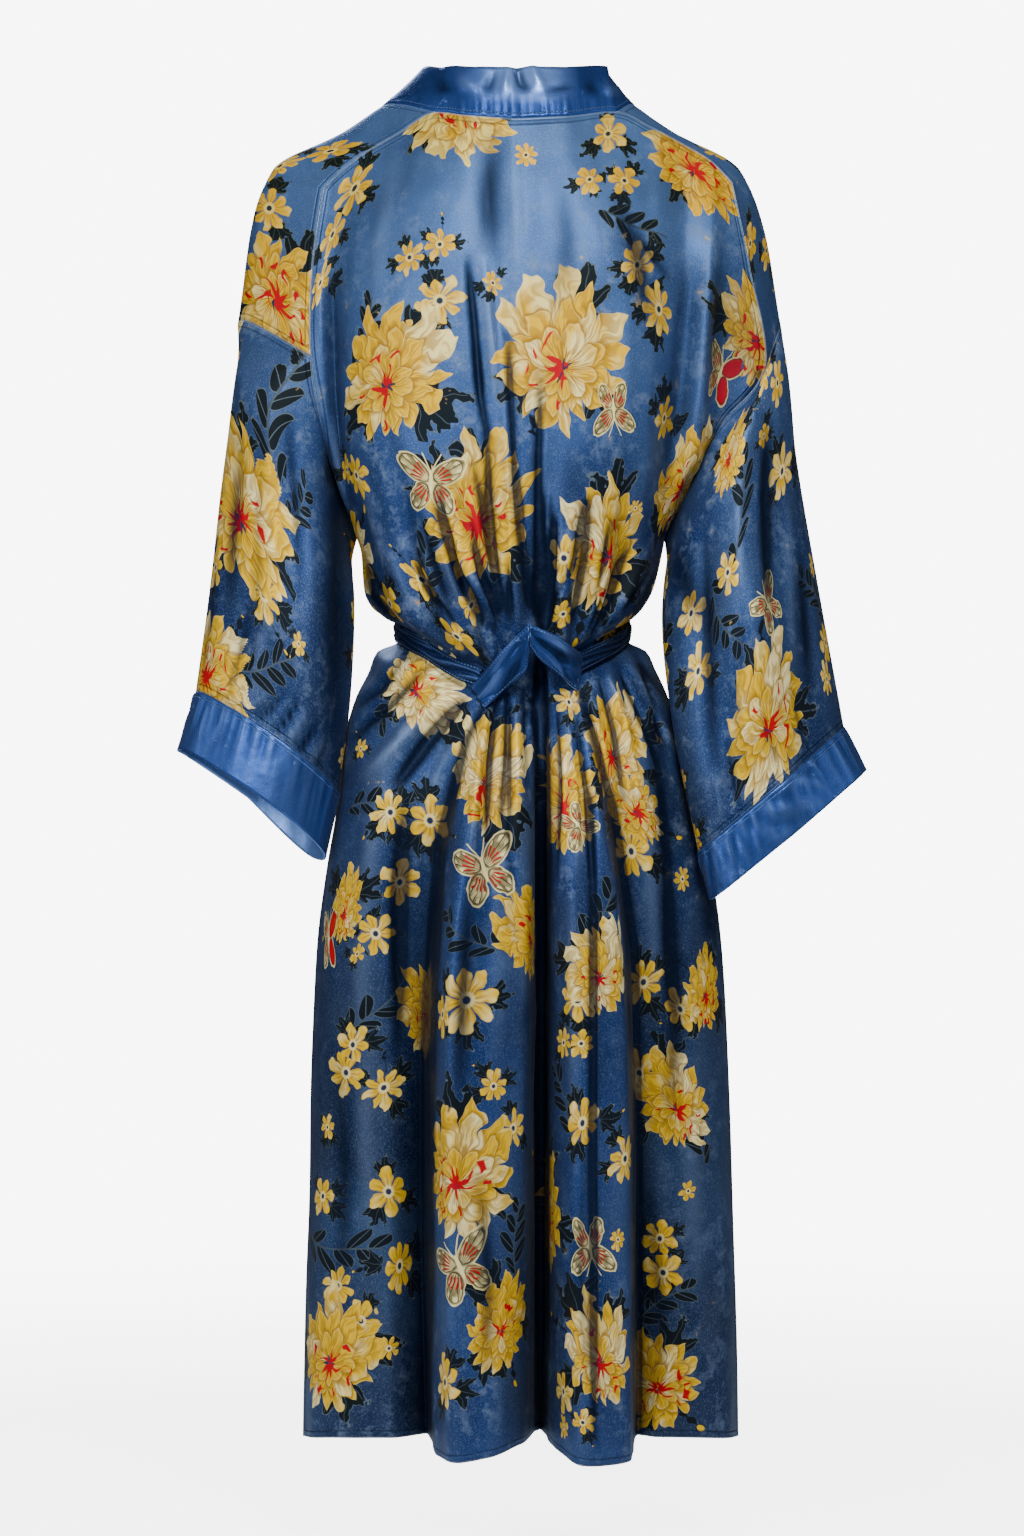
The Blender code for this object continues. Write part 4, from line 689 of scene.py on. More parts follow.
def belt_dip(share):
    """How far the belt and the cloth it holds hang lower behind than at the sides."""
    away = np.sqrt((share**2 + BELT_DIP_SOFT**2) / (1 + BELT_DIP_SOFT**2))
    sag = BELT_SAG * between(share, BELT_SAG_SHARES)
    return BELT_DIP * np.clip(1 - away, 0, 1) ** BELT_DIP_POWER + sag


def belt_angles():
    """Degrees from the centre back of each fold line where the belt holds it."""
    across, behind = fold_column("belt").T
    return np.degrees(np.arctan2(across, behind))


def round_back(share, z):
    """Points of the back before its skirt folds form: the round of the body at a level."""
    shares = fold_column("share")
    loose = through(shares, fold_column("angle"), share)
    held = through(shares, belt_angles(), share)
    angle = np.radians(held + (loose - held) * ramp(z, HELD_Z, ARMPIT_Z))
    side = np.where(share >= 0, section_size("left", z), section_size("right", z))
    depth = section_size("back", z)
    pleat = through(shares, fold_column("pleat"), share) * MM
    reach = 1 + pleat * between(z, GATHER_LEVELS) / depth
    return side * np.sin(angle) * reach, depth * np.cos(angle) * reach


def back_lower(columns, rows):
    """The mid-surface of the back from the armpits to the hem, for lists of columns and levels."""
    shares = fold_column("share")
    share, level = np.meshgrid(columns, rows)
    side = np.where(share >= 0, section_size("left", level), section_size("right", level))
    depth = section_size("back", level)
    round_x, round_y = round_back(share, level)
    shapes = [fold_column(name) / 100 for name in SHAPE_COLUMNS]
    across = np.stack([through(shares, shape, columns) for shape in shapes])
    fold = through(SHAPE_LEVELS, across, rows)
    fold_x = side * fold[..., 0]
    fold_y = depth * fold[..., 1]
    mix = 1 - ramp(level, BELT_Z, SKIRT_FOLD_TOP_Z)
    x = round_x + (fold_x - round_x) * mix
    y = round_y + (fold_y - round_y) * mix
    rise = through(shares, fold_column("rise"), share) * MM * ramp(level, HEM_RISE_TOP_Z, HEM_Z)
    z = level - belt_dip(share) * between(level, DIP_LEVELS) + rise
    return np.stack([x, y, z], axis=-1)


def back_upper(side, share, row):
    """The mid-surface of the back over one shoulder, for shares 0 to 1 and rows 0 to 1."""
    sign = SIGNS[side]
    lines = BACK_LINES[side]
    line_shares = [line[0] for line in lines]
    table = np.array([line[1:] for line in lines], float) * MM
    table[..., 0] *= sign
    armpit = back_lower(sign * share, np.array([ARMPIT_Z]))[0]
    across = [through(line_shares, table[:, k], share) for k in range(len(BACK_LINE_ROWS))]
    rows = np.concatenate([BACK_LINE_ROWS, [1.0]])
    return column_curves(rows, np.stack(across + [armpit]), row)


def column_curves(rows, stack, row):
    """Each column's curve through the stacked lines, read at the rows."""
    points = np.empty((len(row), stack.shape[1], 3))
    for column in range(stack.shape[1]):
        points[:, column] = rounded(rows, stack[:, column], row)
    return points


def rounded(knots, values, at):
    """A Catmull-Rom curve through points, which may swell past them between knots."""
    knots = np.asarray(knots, float)
    slopes = np.diff(values, axis=0) / np.diff(knots)[:, None]
    tangents = np.empty_like(values)
    tangents[0] = slopes[0]
    tangents[-1] = slopes[-1]
    gaps = np.diff(knots)[:, None]
    tangents[1:-1] = (slopes[:-1] * gaps[1:] + slopes[1:] * gaps[:-1]) / (gaps[1:] + gaps[:-1])
    place = np.clip(np.searchsorted(knots, at, side="right") - 1, 0, len(knots) - 2)
    step = np.diff(knots)[place][:, None]
    t = ((at - knots[place]) / np.diff(knots)[place])[:, None]
    return cubic(values, tangents, place, t, step)


def front_point(side, angle, z, lap):
    """A point of the front, by degrees past the side seam: 90 is the centre front.

    lap is 1 on the front that lies outside where they cross, and -1 on the other.
    """
    sign = SIGNS[side]
    angle = np.asarray(angle, float)
    z = np.asarray(z, float)
    own = section_size(side, z)
    other = section_size("right" if side == "left" else "left", z)
    half = np.where(angle <= 90, own, other)
    deep = section_size("front", z)
    swell = FRONT_WAVE_DEPTH * ramp(z, FRONT_WAVE_TOP_Z, HEM_Z) * ramp(angle, 0, FRONT_WAVE_FULL_DEG)
    wave = swell * np.sin(FRONT_WAVES * np.radians(angle))
    push = lap * LAP_OFFSET * ramp(angle, LAP_FROM_DEG, LAP_FULL_DEG) + wave
    x = sign * (half + push) * np.cos(np.radians(angle))
    y = -(deep + push) * np.sin(np.radians(angle))
    return np.stack(np.broadcast_arrays(x, y, z), axis=-1)


def edge_angle(angles, z):
    """An edge's degrees past the side seam at a level."""
    return through(EDGE_LEVELS, angles, z)


def front_lower(side, share, level):
    """The mid-surface of a front below the armpits: share 0 is the neck edge, 1 the side seam."""
    lap = SIGNS[side]
    angle = edge_angle(SEAM_ANGLES, level) * (1 - share)
    return front_point(side, angle, level, lap)


def front_upper(side, seam, share, row):
    """The mid-surface of a front over its shoulder, from the shoulder seam to the armpits."""
    sign = SIGNS[side]
    table = np.array(FRONT_SHOULDER[side], float) * MM
    table[..., 0] *= sign
    lines = [seam] + [through(FRONT_SHARES, line, share) for line in table]
    lines.append(front_lower(side, share, np.full(share.shape, ARMPIT_Z)))
    rows = np.concatenate([FRONT_ROWS, [1.0]])
    return column_curves(rows, np.stack(lines), row)


def shoulder_seam(side, back):
    """The shoulder seam's points from the collar to the armhole's corner, taken from the back."""
    shares = back_shares()
    if side == "right":
        back = back[:, ::-1]
        shares = -shares[::-1]
    top = back[0, shares > NECK_SHARE - SAME_SHARE][::-1]
    return np.concatenate([top, back[1 : CORNER_ROW + 1, 0]])


def back_grid():
    """Rows from the neck and shoulder seams to the hem, columns from left to right."""
    shares = back_shares()
    row = np.linspace(0, 1, SHOULDER_ROWS)
    left = shares[shares >= 0]
    right = shares[shares < 0]
    upper = np.concatenate([back_upper("left", left, row), back_upper("right", -right, row)], axis=1)
    return np.concatenate([upper, back_lower(shares, body_levels())])


def front_grid(side, back):
    """Rows from the shoulder seam to the hem, columns from the neck edge to the armhole and side."""
    seam = shoulder_seam(side, back)
    steps = np.linalg.norm(np.diff(seam, axis=0), axis=1)
    share = np.concatenate([[0], np.cumsum(steps)]) / steps.sum()
    row = np.linspace(0, 1, SHOULDER_ROWS)
    upper = front_upper(side, seam, share, row)
    upper[0] = seam
    grid_share, grid_level = np.meshgrid(share, body_levels())
    grid = np.concatenate([upper, front_lower(side, grid_share, grid_level)])
    side_seam = back[:, 0] if side == "left" else back[:, -1]
    grid[SHOULDER_ROWS - 1 :, -1] = side_seam[SHOULDER_ROWS - 1 :]
    return grid


def ring_points(side, row, angles):
    """A sleeve's ring at its own slant: 0 degrees is its outer side, 90 its back, 180 its inner side."""
    ring = dict(zip(RING_COLUMNS, row))
    outer = np.array(ring["outer"], float) * MM
    inner = np.array(ring["inner"], float) * MM
    middle = (outer + inner) / 2
    long_axis = (outer - inner) / 2
    cos = np.cos(angles)
    sin = np.sin(angles)
    deep = np.where(sin > 0, ring["behind"], ring["before"]) * MM
    points = middle + long_axis * cos[:, None]
    points[:, 1] += deep * sin
    front_inside = 2 * np.clip(-sin, 0, 1) * np.clip(DROP_FROM_COSINE - cos, 0, 1)
    points[:, 2] += ring["lift"] * MM * np.clip(sin, 0, 1) - ring["drop"] * MM * front_inside
    points[:, 0] *= SIGNS[side]
    return points


def fold_depth(side, angles):
    """How far each place round a sleeve is moved in or out by its long folds."""
    depth = np.zeros_like(angles)
    degrees = np.degrees(angles) % 360
    for place, width, size in SLEEVE_FOLDS[side]:
        away = (degrees - place + 180) % 360 - 180
        depth += size * MM * np.exp(-((away / width) ** 2))
    return depth


def sleeve_grid(side, armhole):
    """Rows from the armhole seam to the cuff seam, columns round the sleeve."""
    angles = ring_angles(len(armhole))
    rings = [armhole] + [ring_points(side, row, angles) for row in SLEEVES[side]]
    knots = [0.0] + [row[0] for row in SLEEVES[side]]
    row = np.linspace(0, 1, SLEEVE_ROWS)
    grid = column_curves(np.array(knots), np.stack(rings), row)
    away = grid - grid.mean(axis=1, keepdims=True)
    away /= np.linalg.norm(away, axis=2, keepdims=True)
    grown = ramp(row, *FOLD_GROWS) * (1 - FOLD_EASE * ramp(row, *FOLD_EASES))
    return grid + away * fold_depth(side, angles)[None, :, None] * grown[:, None, None]


def ring_angles(count):
    """Angles round a sleeve, in radians, from the shoulder seam's corner behind to the front."""
    corner = math.radians(CORNER_DEG)
    back = SHOULDER_ROWS - 1 - CORNER_ROW
    to_under = np.linspace(corner, math.pi, back, endpoint=False)
    round_front = np.linspace(math.pi, 2 * math.pi + corner, count - back, endpoint=False)
    return np.concatenate([to_under, round_front])


def armhole_ring(back_edge, front_edge):
    """The closed armhole: down the back's edge to the underarm, then up the front's to the seam."""
    down = back_edge[CORNER_ROW : SHOULDER_ROWS - 1]
    up = front_edge[1:SHOULDER_ROWS][::-1]
    return np.concatenate([down, up])


def cuff_grid(side, seam_ring):
    """Rows from the sleeve's end to the cuff's open edge, columns round it."""
    angles = ring_angles(len(seam_ring))
    end = ring_points(side, CUFFS[side], angles)
    away = end - end.mean(axis=0)
    away /= np.linalg.norm(away, axis=1, keepdims=True)
    end = end + away * fold_depth(side, angles)[:, None] * CUFF_FOLD
    share = np.linspace(0, 1, CUFF_ROWS)[:, None, None]
    return seam_ring[None] * (1 - share) + end[None] * share


def band_front(side, front):
    """The collar band down one front: its seam edge is the front's own edge."""
    lap = SIGNS[side]
    seam = front[:, 0]
    free = np.empty_like(seam)
    upper_rows = np.linspace(0, 1, SHOULDER_ROWS)
    armpit_free = front_point(side, edge_angle(FREE_ANGLES, ARMPIT_Z), ARMPIT_Z, lap)
    reach = np.array(BAND_REACH, float) * MM
    reach[:, 0] *= lap
    reach = np.concatenate([reach, [armpit_free - seam[SHOULDER_ROWS - 1]]])
    knots = np.concatenate([FRONT_ROWS, [1.0]])
    free[:SHOULDER_ROWS] = seam[:SHOULDER_ROWS] + rounded(knots, reach, upper_rows)
    levels = seam[SHOULDER_ROWS:, 2]
    free[SHOULDER_ROWS:] = front_point(side, edge_angle(FREE_ANGLES, levels), levels, lap)
    middle_angles = (edge_angle(FREE_ANGLES, levels) + edge_angle(SEAM_ANGLES, levels)) / 2
    middle = (seam + free) / 2
    middle[SHOULDER_ROWS:] = front_point(side, middle_angles, levels, lap)
    return seam, middle, free


def collar_grid(back, fronts):
    """One band from the left hem up the left front, round the neck and down to the right hem."""
    left = band_front("left", fronts["left"])
    right = band_front("right", fronts["right"])
    shares = back_shares()
    inside = np.abs(shares) < NECK_SHARE - SAME_SHARE
    neck = back[0, inside]
    lean = np.abs(shares[inside]) / NECK_SHARE
    sign = np.sign(shares[inside])
    centre = np.array(BAND_BACK_REACH, float) * MM
    side = np.array(BAND_REACH[0], float) * MM
    reach = centre + (side - centre) * (lean**BAND_LEAN_POWER)[:, None]
    reach[:, 0] = side[0] * lean * sign
    neck_free = neck + reach
    neck_middle = (neck + neck_free) / 2 + np.array(BAND_NECK_BULGE) * MM
    round_neck = (neck, neck_middle, neck_free)
    lines = [np.concatenate([l[::-1], n, r]) for l, n, r in zip(left, round_neck, right)]
    return np.stack(lines, axis=1)


def belt_height(share):
    """The belt's level at a place across the back."""
    return BELT_Z - belt_dip(share)


def belt_grid():
    """An open ring round the waist, from the left end at the back round the front to the right end."""
    points = np.empty((BELT_POINTS, 3, 3))
    # 0 is the wearer's left side, 90 the centre front and 180 the right side
    degrees = np.linspace(BELT_LEFT_END_DEG - 90, 270 - BELT_RIGHT_END_DEG, BELT_POINTS)
    for index, degree in enumerate(degrees):
        sin = math.sin(math.radians(degree))
        half = section_size("left" if degree < 90 else "right", BELT_Z)
        deep = section_size("back" if sin < 0 else "front", BELT_Z)
        out = BELT_CLEARANCE + LAP_OFFSET * float(ramp(sin, *BELT_OVER_LAP))
        x = (half + out) * math.cos(math.radians(degree))
        y = -(deep + out) * sin
        z = BELT_Z
        tall = BELT_HALF_HEIGHT
        if sin < 0:
            angle = math.degrees(math.atan2(x / half, y / deep))
            share = float(through(belt_angles(), fold_column("share"), angle))
            z = float(belt_height(share))
            near_tie = float(ramp(1 - abs(share), *BELT_WIDENS))
            tall += (BELT_END_HALF_HEIGHT - BELT_HALF_HEIGHT) * near_tie
        points[index] = [(x, y, z + tall), (x * BELT_CROWN_X, y * BELT_CROWN_Y, z), (x, y, z - tall)]
    return points


def tie_grid(name):
    """One arm of the tie, from its edges' table to an even grid."""
    table = np.array(TIE_ARMS[name], float) * MM
    along = np.linspace(0, 1, len(table))
    across = np.linspace(0, 1, table.shape[1])
    rows = np.linspace(0, 1, TIE_ROWS)
    columns = np.linspace(0, 1, TIE_COLUMNS)
    by_row = np.stack([rounded(along, table[:, k], rows) for k in range(table.shape[1])], axis=1)
    return np.stack([rounded(across, line, columns) for line in by_row])


def closed(field, ring):
    """A grid or a field on it, where a ring's first column is repeated at its end."""
    return np.concatenate([field, field[:, :1]], axis=1) if ring else field


def own_normals(grid, ring):
    """Unit normals of one grid, from its own faces only."""
    wide = closed(grid, ring)
    diagonal = wide[1:, 1:] - wide[:-1, :-1]
    other = wide[:-1, 1:] - wide[1:, :-1]
    faces = np.cross(diagonal, other)
    sums = np.zeros_like(wide)
    for r in (slice(0, -1), slice(1, None)):
        for c in (slice(0, -1), slice(1, None)):
            sums[r, c] += faces
    if ring:
        sums[:, 0] += sums[:, -1]
        sums = sums[:, :-1]
    return unit(sums)


def unit(vectors):
    """Vectors of length 1."""
    return vectors / np.linalg.norm(vectors, axis=-1, keepdims=True)


def edge_points(grid, ring):
    """The indices of a grid's points on its edges."""
    rows, columns = grid.shape[:2]
    edges = [(r, c) for r in (0, rows - 1) for c in range(columns)]
    if not ring:
        edges += [(r, c) for c in (0, columns - 1) for r in range(1, rows - 1)]
    return edges


def meeting_points(grids):
    """The places where grids share a point, each a list of (grid name, index) pairs."""
    meet = {}
    for name, (grid, ring) in grids.items():
        for index in edge_points(grid, ring):
            key = tuple(np.round(grid[index] / SAME_POINT).astype(np.int64))
            meet.setdefault(key, []).append((name, index))
    return [members for members in meet.values() if len(members) > 1]


def seam_normals(grids):
    """Unit normals that pieces share along their seams, except where a sleeve turns back on the body."""
    own = {name: own_normals(grid, ring) for name, (grid, ring) in grids.items()}
    joined = {name: normals.copy() for name, normals in own.items()}
    for members in meeting_points(grids):
        shared = unit(sum(own[name][index] for name, index in members))
        for name, index in members:
            joined[name][index] = shared
        body = [member for member in members if member[0].startswith(("back", "front"))]
        sleeve = [member for member in members if member[0].startswith("sleeve")]
        if not (body and sleeve):
            continue
        body_normal = unit(sum(own[name][index] for name, index in body))
        for name, index in sleeve:
            alone = own[name][index]
            cosine = float(np.dot(body_normal, alone))
            turned = float(ramp(-cosine, -SHARED_COSINE, -OWN_COSINE))
            joined[name][index] = unit((1 - turned) * shared + turned * alone)
            beside = CLOTH_THICK / 2 * (1 - cosine) + SEAM_GAP
            grids[name][0][index] += body_normal * beside * turned
        for name, index in body:
            joined[name][index] = unit((1 - turned) * shared + turned * body_normal)
    return joined


# Each edge of a grid and the line of points beside it
EDGE_LINES = {
    "top": (np.s_[0], np.s_[1]),
    "bottom": (np.s_[-1], np.s_[-2]),
    "first": (np.s_[:, 0], np.s_[:, 1]),
    "last": (np.s_[:, -1], np.s_[:, -2]),
}


def pulled_in(grid, edges):
    """The grid with its sewn edges moved half a seam gap towards its own inside."""
    moved = grid.copy()
    for name, (edge, beside) in EDGE_LINES.items():
        if name in edges:
            moved[edge] += unit(moved[beside] - moved[edge]) * SEAM_GAP / 2
    return moved


def pixels(points):
    """Where points show in the photograph."""
    scale = CAMERA_DISTANCE / (CAMERA_DISTANCE - points[..., 1]) / METRES_PER_PIXEL
    across = AXIS_PX - points[..., 0] * scale
    down = AXIS_PY - (points[..., 2] - CAMERA_Z) * scale
    return np.stack([across, down], axis=-1)


def beside_line(places, line):
    """Each place's distance from a line, over 0 on one side of it, and its share of the way along it."""
    best = np.full(places.shape[:-1], np.inf)
    signed = np.zeros(best.shape)
    along = np.zeros(best.shape)
    spans = np.linalg.norm(np.diff(line, axis=0), axis=1)
    passed = 0.0
    for start, end, span in zip(line[:-1], line[1:], spans):
        way = (end - start) / span
        gap = places - start
        t = np.clip(gap @ way, 0, span)
        away = np.linalg.norm(gap - t[..., None] * way, axis=-1)
        nearer = away < best
        best = np.where(nearer, away, best)
        cross = gap[..., 0] * way[1] - gap[..., 1] * way[0]
        signed = np.where(nearer, np.copysign(away, cross), signed)
        along = np.where(nearer, (passed + t) / spans.sum(), along)
        passed += span
    return signed, along


def swelling(along, left_out, power):
    """How deep a fold is at a share of its length: 1 in the middle, and less towards its ends."""
    return np.sin(np.pi * np.clip(along * (1 - 2 * left_out) + left_out, 0, 1)) ** power


def crease_push(places, creases, scale):
    """How far a list of creases moves the cloth at flat places, in metres."""
    push = np.zeros(places.shape[:-1])
    for width, depth, line in creases:
        away, along = beside_line(places, np.array(line, float) * scale)
        swell = swelling(along, *CREASE_SWELL)
        push += CREASE_GAIN * depth * MM * swell * np.exp(-((away / (width * scale)) ** 2))
    return push


def pleat_push(places, pleats):
    """How far sharp pleats move the cloth, in metres, and the shade in mm of trough beside each."""
    push = np.zeros(places.shape[:-1])
    shade = np.zeros(push.shape)
    for steep, soft, side, height, line in pleats:
        away, along = beside_line(places, np.array(line, float))
        away = away * side
        swell = swelling(along, *PLEAT_SWELL)
        reach = np.where(away > 0, soft, steep)
        push += height * MM * swell * np.exp(-((away / reach) ** 2))
        trough = (away / steep + PLEAT_SHADE_AWAY) / PLEAT_SHADE_REACH
        shade -= min(height, PLEAT_SHADE_MOST) * swell * np.exp(-(trough**2))
    return push, shade


def drape(points):
    """A slight unevenness of hanging cloth at points in space, in metres."""
    chance = np.random.default_rng(SEED)
    push = np.zeros(points.shape[:-1])
    for _ in range(DRAPE_WAVES):
        across = 2 * np.pi / chance.uniform(*DRAPE_ACROSS)
        down = 2 * np.pi / chance.uniform(*DRAPE_DOWN)
        turn = chance.uniform(0, np.pi)
        phase = chance.uniform(0, 2 * np.pi)
        flat = points[..., 0] * math.cos(turn) + points[..., 1] * math.sin(turn)
        push += np.sin(flat * across + points[..., 2] * down + phase)
    return push * DRAPE_DEPTH * MM / math.sqrt(DRAPE_WAVES)


def lengths(grid, ring):
    """Arc lengths across and down a grid, with a ring's first column repeated at its end."""
    wide = closed(grid, ring)
    across = np.linalg.norm(np.diff(wide, axis=1), axis=2)
    down = np.linalg.norm(np.diff(wide, axis=0), axis=2)
    across = np.concatenate([np.zeros((len(wide), 1)), np.cumsum(across, axis=1)], axis=1)
    down = np.concatenate([np.zeros((1, wide.shape[1])), np.cumsum(down, axis=0)])
    return across, down


def seam_distance(name, across, down, hem=True):
    """The distance to the nearest sewn edge, at every point, with or without the hem."""
    edges = SEWN.get(name, ())
    away = np.full(across.shape, 1.0)
    if "top" in edges:
        away = np.minimum(away, down)
    if "bottom" in edges or hem and name in HEMMED:
        away = np.minimum(away, down[-1] - down)
    if "first" in edges or name in PLEAT_DEPTH:
        away = np.minimum(away, across)
    if "last" in edges or name in PLEAT_DEPTH:
        away = np.minimum(away, across[:, -1:] - across)
    return away


def creased(name, grid, normals, ring):
    """The grid moved along its normals, and its creases' height above the cloth in mm, with the shade
    beside sharp pleats and in hollows, which the materials paint as shade and highlight.
    """
    behind = ramp(normals[..., 1], *FACING)
    before = ramp(-normals[..., 1], *FACING)
    view = pixels(grid)
    front = grid[..., [0, 2]]
    push = np.zeros(grid.shape[:2])
    proud = np.zeros(push.shape)
    shade = np.zeros(push.shape)
    if name == "back_panel":
        push += crease_push(view, BACK_CREASES, 1.0) * behind
        proud, shade = pleat_push(view, BACK_PLEATS)
    if name.startswith(("front", "collar")):
        push += crease_push(front, FRONT_CREASES, MM) * before
    if name == "collar_band":
        push += crease_push(view, COLLAR_CREASES, 1.0) * ramp(grid[..., 2], *NECK_CREASES_Z) * TRIM_GAIN
    if name.startswith("tie"):
        push += crease_push(view, TIE_CREASES, 1.0) * TRIM_GAIN
    if name.startswith("sleeve"):
        push += crease_push(view, SLEEVE_CREASES, 1.0) * behind
        proud, shade = pleat_push(view, SLEEVE_PLEATS)
        push += crease_push(front, FRONT_SLEEVE_CREASES, MM) * before
    unevenness = 0.0 if name in PLEAT_DEPTH else drape(grid)
    across, down = lengths(grid, ring)
    away = seam_distance(name, across, down)
    apart = seam_distance(name, across, down, hem=False)
    if ring:
        across = across[:, :-1]
        away = away[:, :-1]
        apart = apart[:, :-1]
    if name.startswith(("cuff", "collar")):
        kind = name.split("_")[0]
        along = across if kind == "cuff" else down
        waves = sum(np.sin(2 * np.pi * along / s + s * PUCKER_START) for s in PUCKER_SPACINGS)
        waves = waves / len(PUCKER_SPACINGS)
        push += waves * PUCKER_DEPTH[kind] * MM * np.exp(-((away / PUCKER_REACH[kind]) ** 2))
    if name not in PLEAT_DEPTH:
        push *= ramp(apart, *CREASE_APART)
    push = push + unevenness
    if name in PLEAT_DEPTH:
        share = across / across[:, -1:]
        drift = np.sin(down * PLEAT_DRIFT_ALONG + share * PLEAT_DRIFT_ACROSS) * PLEAT_DRIFT
        pleats = np.sin(2 * np.pi * (PLEATS[name] * share + drift)) * np.sin(np.pi * share)
        push = push + pleats * PLEAT_DEPTH[name] * MM
    outward = ramp(normals[..., 1], *OUTWARD) * ramp(apart, *PLEAT_APART)
    # fold sets the painted shade in troughs, in hollows and beside sharp pleats, and the painted
    # highlight on ridges
    fold = (push - unevenness) / MM + shade * outward + hollow(grid, normals, ring) * HOLLOW_WEIGHT
    moved = grid + normals * push[..., None]
    moved[..., 1] += proud * outward
    return moved, fold


def hollow(grid, normals, ring):
    """How far each point stands out from the cloth round it, in mm: under 0 in a deep fold."""
    soft = grid
    for _ in range(HOLLOW_PASSES):
        first, last = (soft[:, -1:], soft[:, :1]) if ring else (soft[:, :1], soft[:, -1:])
        wide = np.concatenate([first, soft, last], axis=1)
        soft = (wide[:, :-2] + 2 * wide[:, 1:-1] + wide[:, 2:]) / 4
    out = ((grid - soft) * normals).sum(axis=-1) / MM
    return np.clip(out - HOLLOW_ROUND, *HOLLOW_RANGE)


def finer_across(lines, columns):
    """A band's two edges and middle line as a grid with more points across it."""
    across = np.linspace(0, 1, columns)
    stack = np.moveaxis(lines, 1, 0)
    return np.moveaxis(column_curves(np.array([0, 0.5, 1.0]), stack, across), 0, 1)


SEWN = {
    "back_panel": ("top", "first", "last"),
    "front_left": ("top", "first", "last"),
    "front_right": ("top", "first", "last"),
    "sleeve_left": ("top", "bottom"),
    "sleeve_right": ("top", "bottom"),
    "cuff_left": ("top",),
    "cuff_right": ("top",),
    "collar_band": ("first",),
}
HEMMED = ("back_panel", "front_left", "front_right")
PRINTED = ("back_panel", "front_left", "front_right", "sleeve_left", "sleeve_right")
RINGS = ("sleeve_left", "sleeve_right", "cuff_left", "cuff_right")
# Pieces whose columns run against the photograph's left to right as seen from outside
TURNED = ("sleeve_right", "cuff_right", "front_left")


def cloth_grids():
    """Every piece's mid-surface grid, by node name."""
    back = back_grid()
    seams = {"left": back[:, 0], "right": back[:, -1]}
    fronts = {side: front_grid(side, back) for side in seams}
    armholes = {side: armhole_ring(seams[side], fronts[side][:, -1]) for side in seams}
    sleeves = {side: sleeve_grid(side, armholes[side]) for side in seams}
    cuffs = {side: cuff_grid(side, sleeves[side][-1]) for side in seams}
    grids = {
        "back_panel": back,
        "front_left": fronts["left"],
        "front_right": fronts["right"][:, ::-1],
        "sleeve_left": sleeves["left"],
        "sleeve_right": sleeves["right"][:, ::-1],
        "cuff_left": cuffs["left"],
        "cuff_right": cuffs["right"][:, ::-1],
        "collar_band": finer_across(collar_grid(back, fronts), COLLAR_COLUMNS),
        "belt": finer_across(belt_grid(), BELT_COLUMNS),
        "tie_left": tie_grid("tie_left")[:, ::-1],
        "tie_right": tie_grid("tie_right")[:, ::-1],
    }
    return {name: (grid, name in RINGS) for name, grid in grids.items()}


def cells(rows, columns, ring):
    """The corner indices of a grid's outer faces, row by row."""
    last = columns if ring else columns - 1
    r, c = np.meshgrid(np.arange(rows - 1), np.arange(last), indexing="ij")
    right = (c + 1) % columns
    corners = [r * columns + c, (r + 1) * columns + c, (r + 1) * columns + right, r * columns + right]
    return np.stack(corners, axis=-1).reshape(-1, 4)


def corner_values(field):
    """A field on a grid, a ring's with its first column repeated, read at each outer face's corners."""
    corners = [field[:-1, :-1], field[1:, :-1], field[1:, 1:], field[:-1, 1:]]
    stacked = np.stack(corners, axis=2)
    return stacked.reshape((-1, 4) + field.shape[2:])


def shell(name, grid, normals, thick, ring, materials, fields):
    """A closed cloth wall round a mid-surface grid, with fields stored at its outer faces' corners."""
    rows, columns = grid.shape[:2]
    count = rows * columns
    points = np.concatenate([
        (grid + normals * thick / 2).reshape(-1, 3),
        (grid - normals * thick / 2).reshape(-1, 3),
    ])
    outer = cells(rows, columns, ring)
    inner = outer[:, ::-1] + count
    index = closed(np.arange(count).reshape(rows, columns), ring)
    edges = [index[0, ::-1], index[-1]]
    if not ring:
        edges += [index[:, 0], index[::-1, -1]]
    rims = [
        np.stack([line[:-1], line[:-1] + count, line[1:] + count, line[1:]], axis=-1) for line in edges
    ]
    faces = np.concatenate([outer, inner] + rims)
    mesh = bpy.data.meshes.new(name)
    mesh.from_pydata(points.tolist(), [], faces.tolist())
    mesh.update()
    mesh.shade_smooth()
    for material in materials:
        mesh.materials.append(material)
    slots = np.zeros(len(faces), np.int32)
    if len(materials) > 1:
        slots[len(outer):len(outer) + len(inner)] = 1
    mesh.polygons.foreach_set("material_index", slots)
    for field_name, values in fields.items():
        whole = np.full((len(faces), 4, 3), FAR)
        whole[:len(outer)] = values
        attribute = mesh.attributes.new(field_name, "FLOAT_VECTOR", "CORNER")
        attribute.data.foreach_set("vector", whole.ravel())
    obj = bpy.data.objects.new(name, mesh)
    bpy.context.scene.collection.objects.link(obj)
    return obj


def seen_places(grids, normals):
    """Every printed point that faces the camera: piece number, row, column, pixel and depth."""
    found = []
    for number, name in enumerate(PRINTED):
        grid = grids[name][0]
        facing = normals[name][..., 1] > SHOWN_OVER
        rows, columns = np.nonzero(facing)
        spots = grid[rows, columns]
        view = pixels(spots)
        found.append(np.column_stack([np.full(len(rows), number), rows, columns, view, spots[:, 1]]))
    return np.concatenate(found)


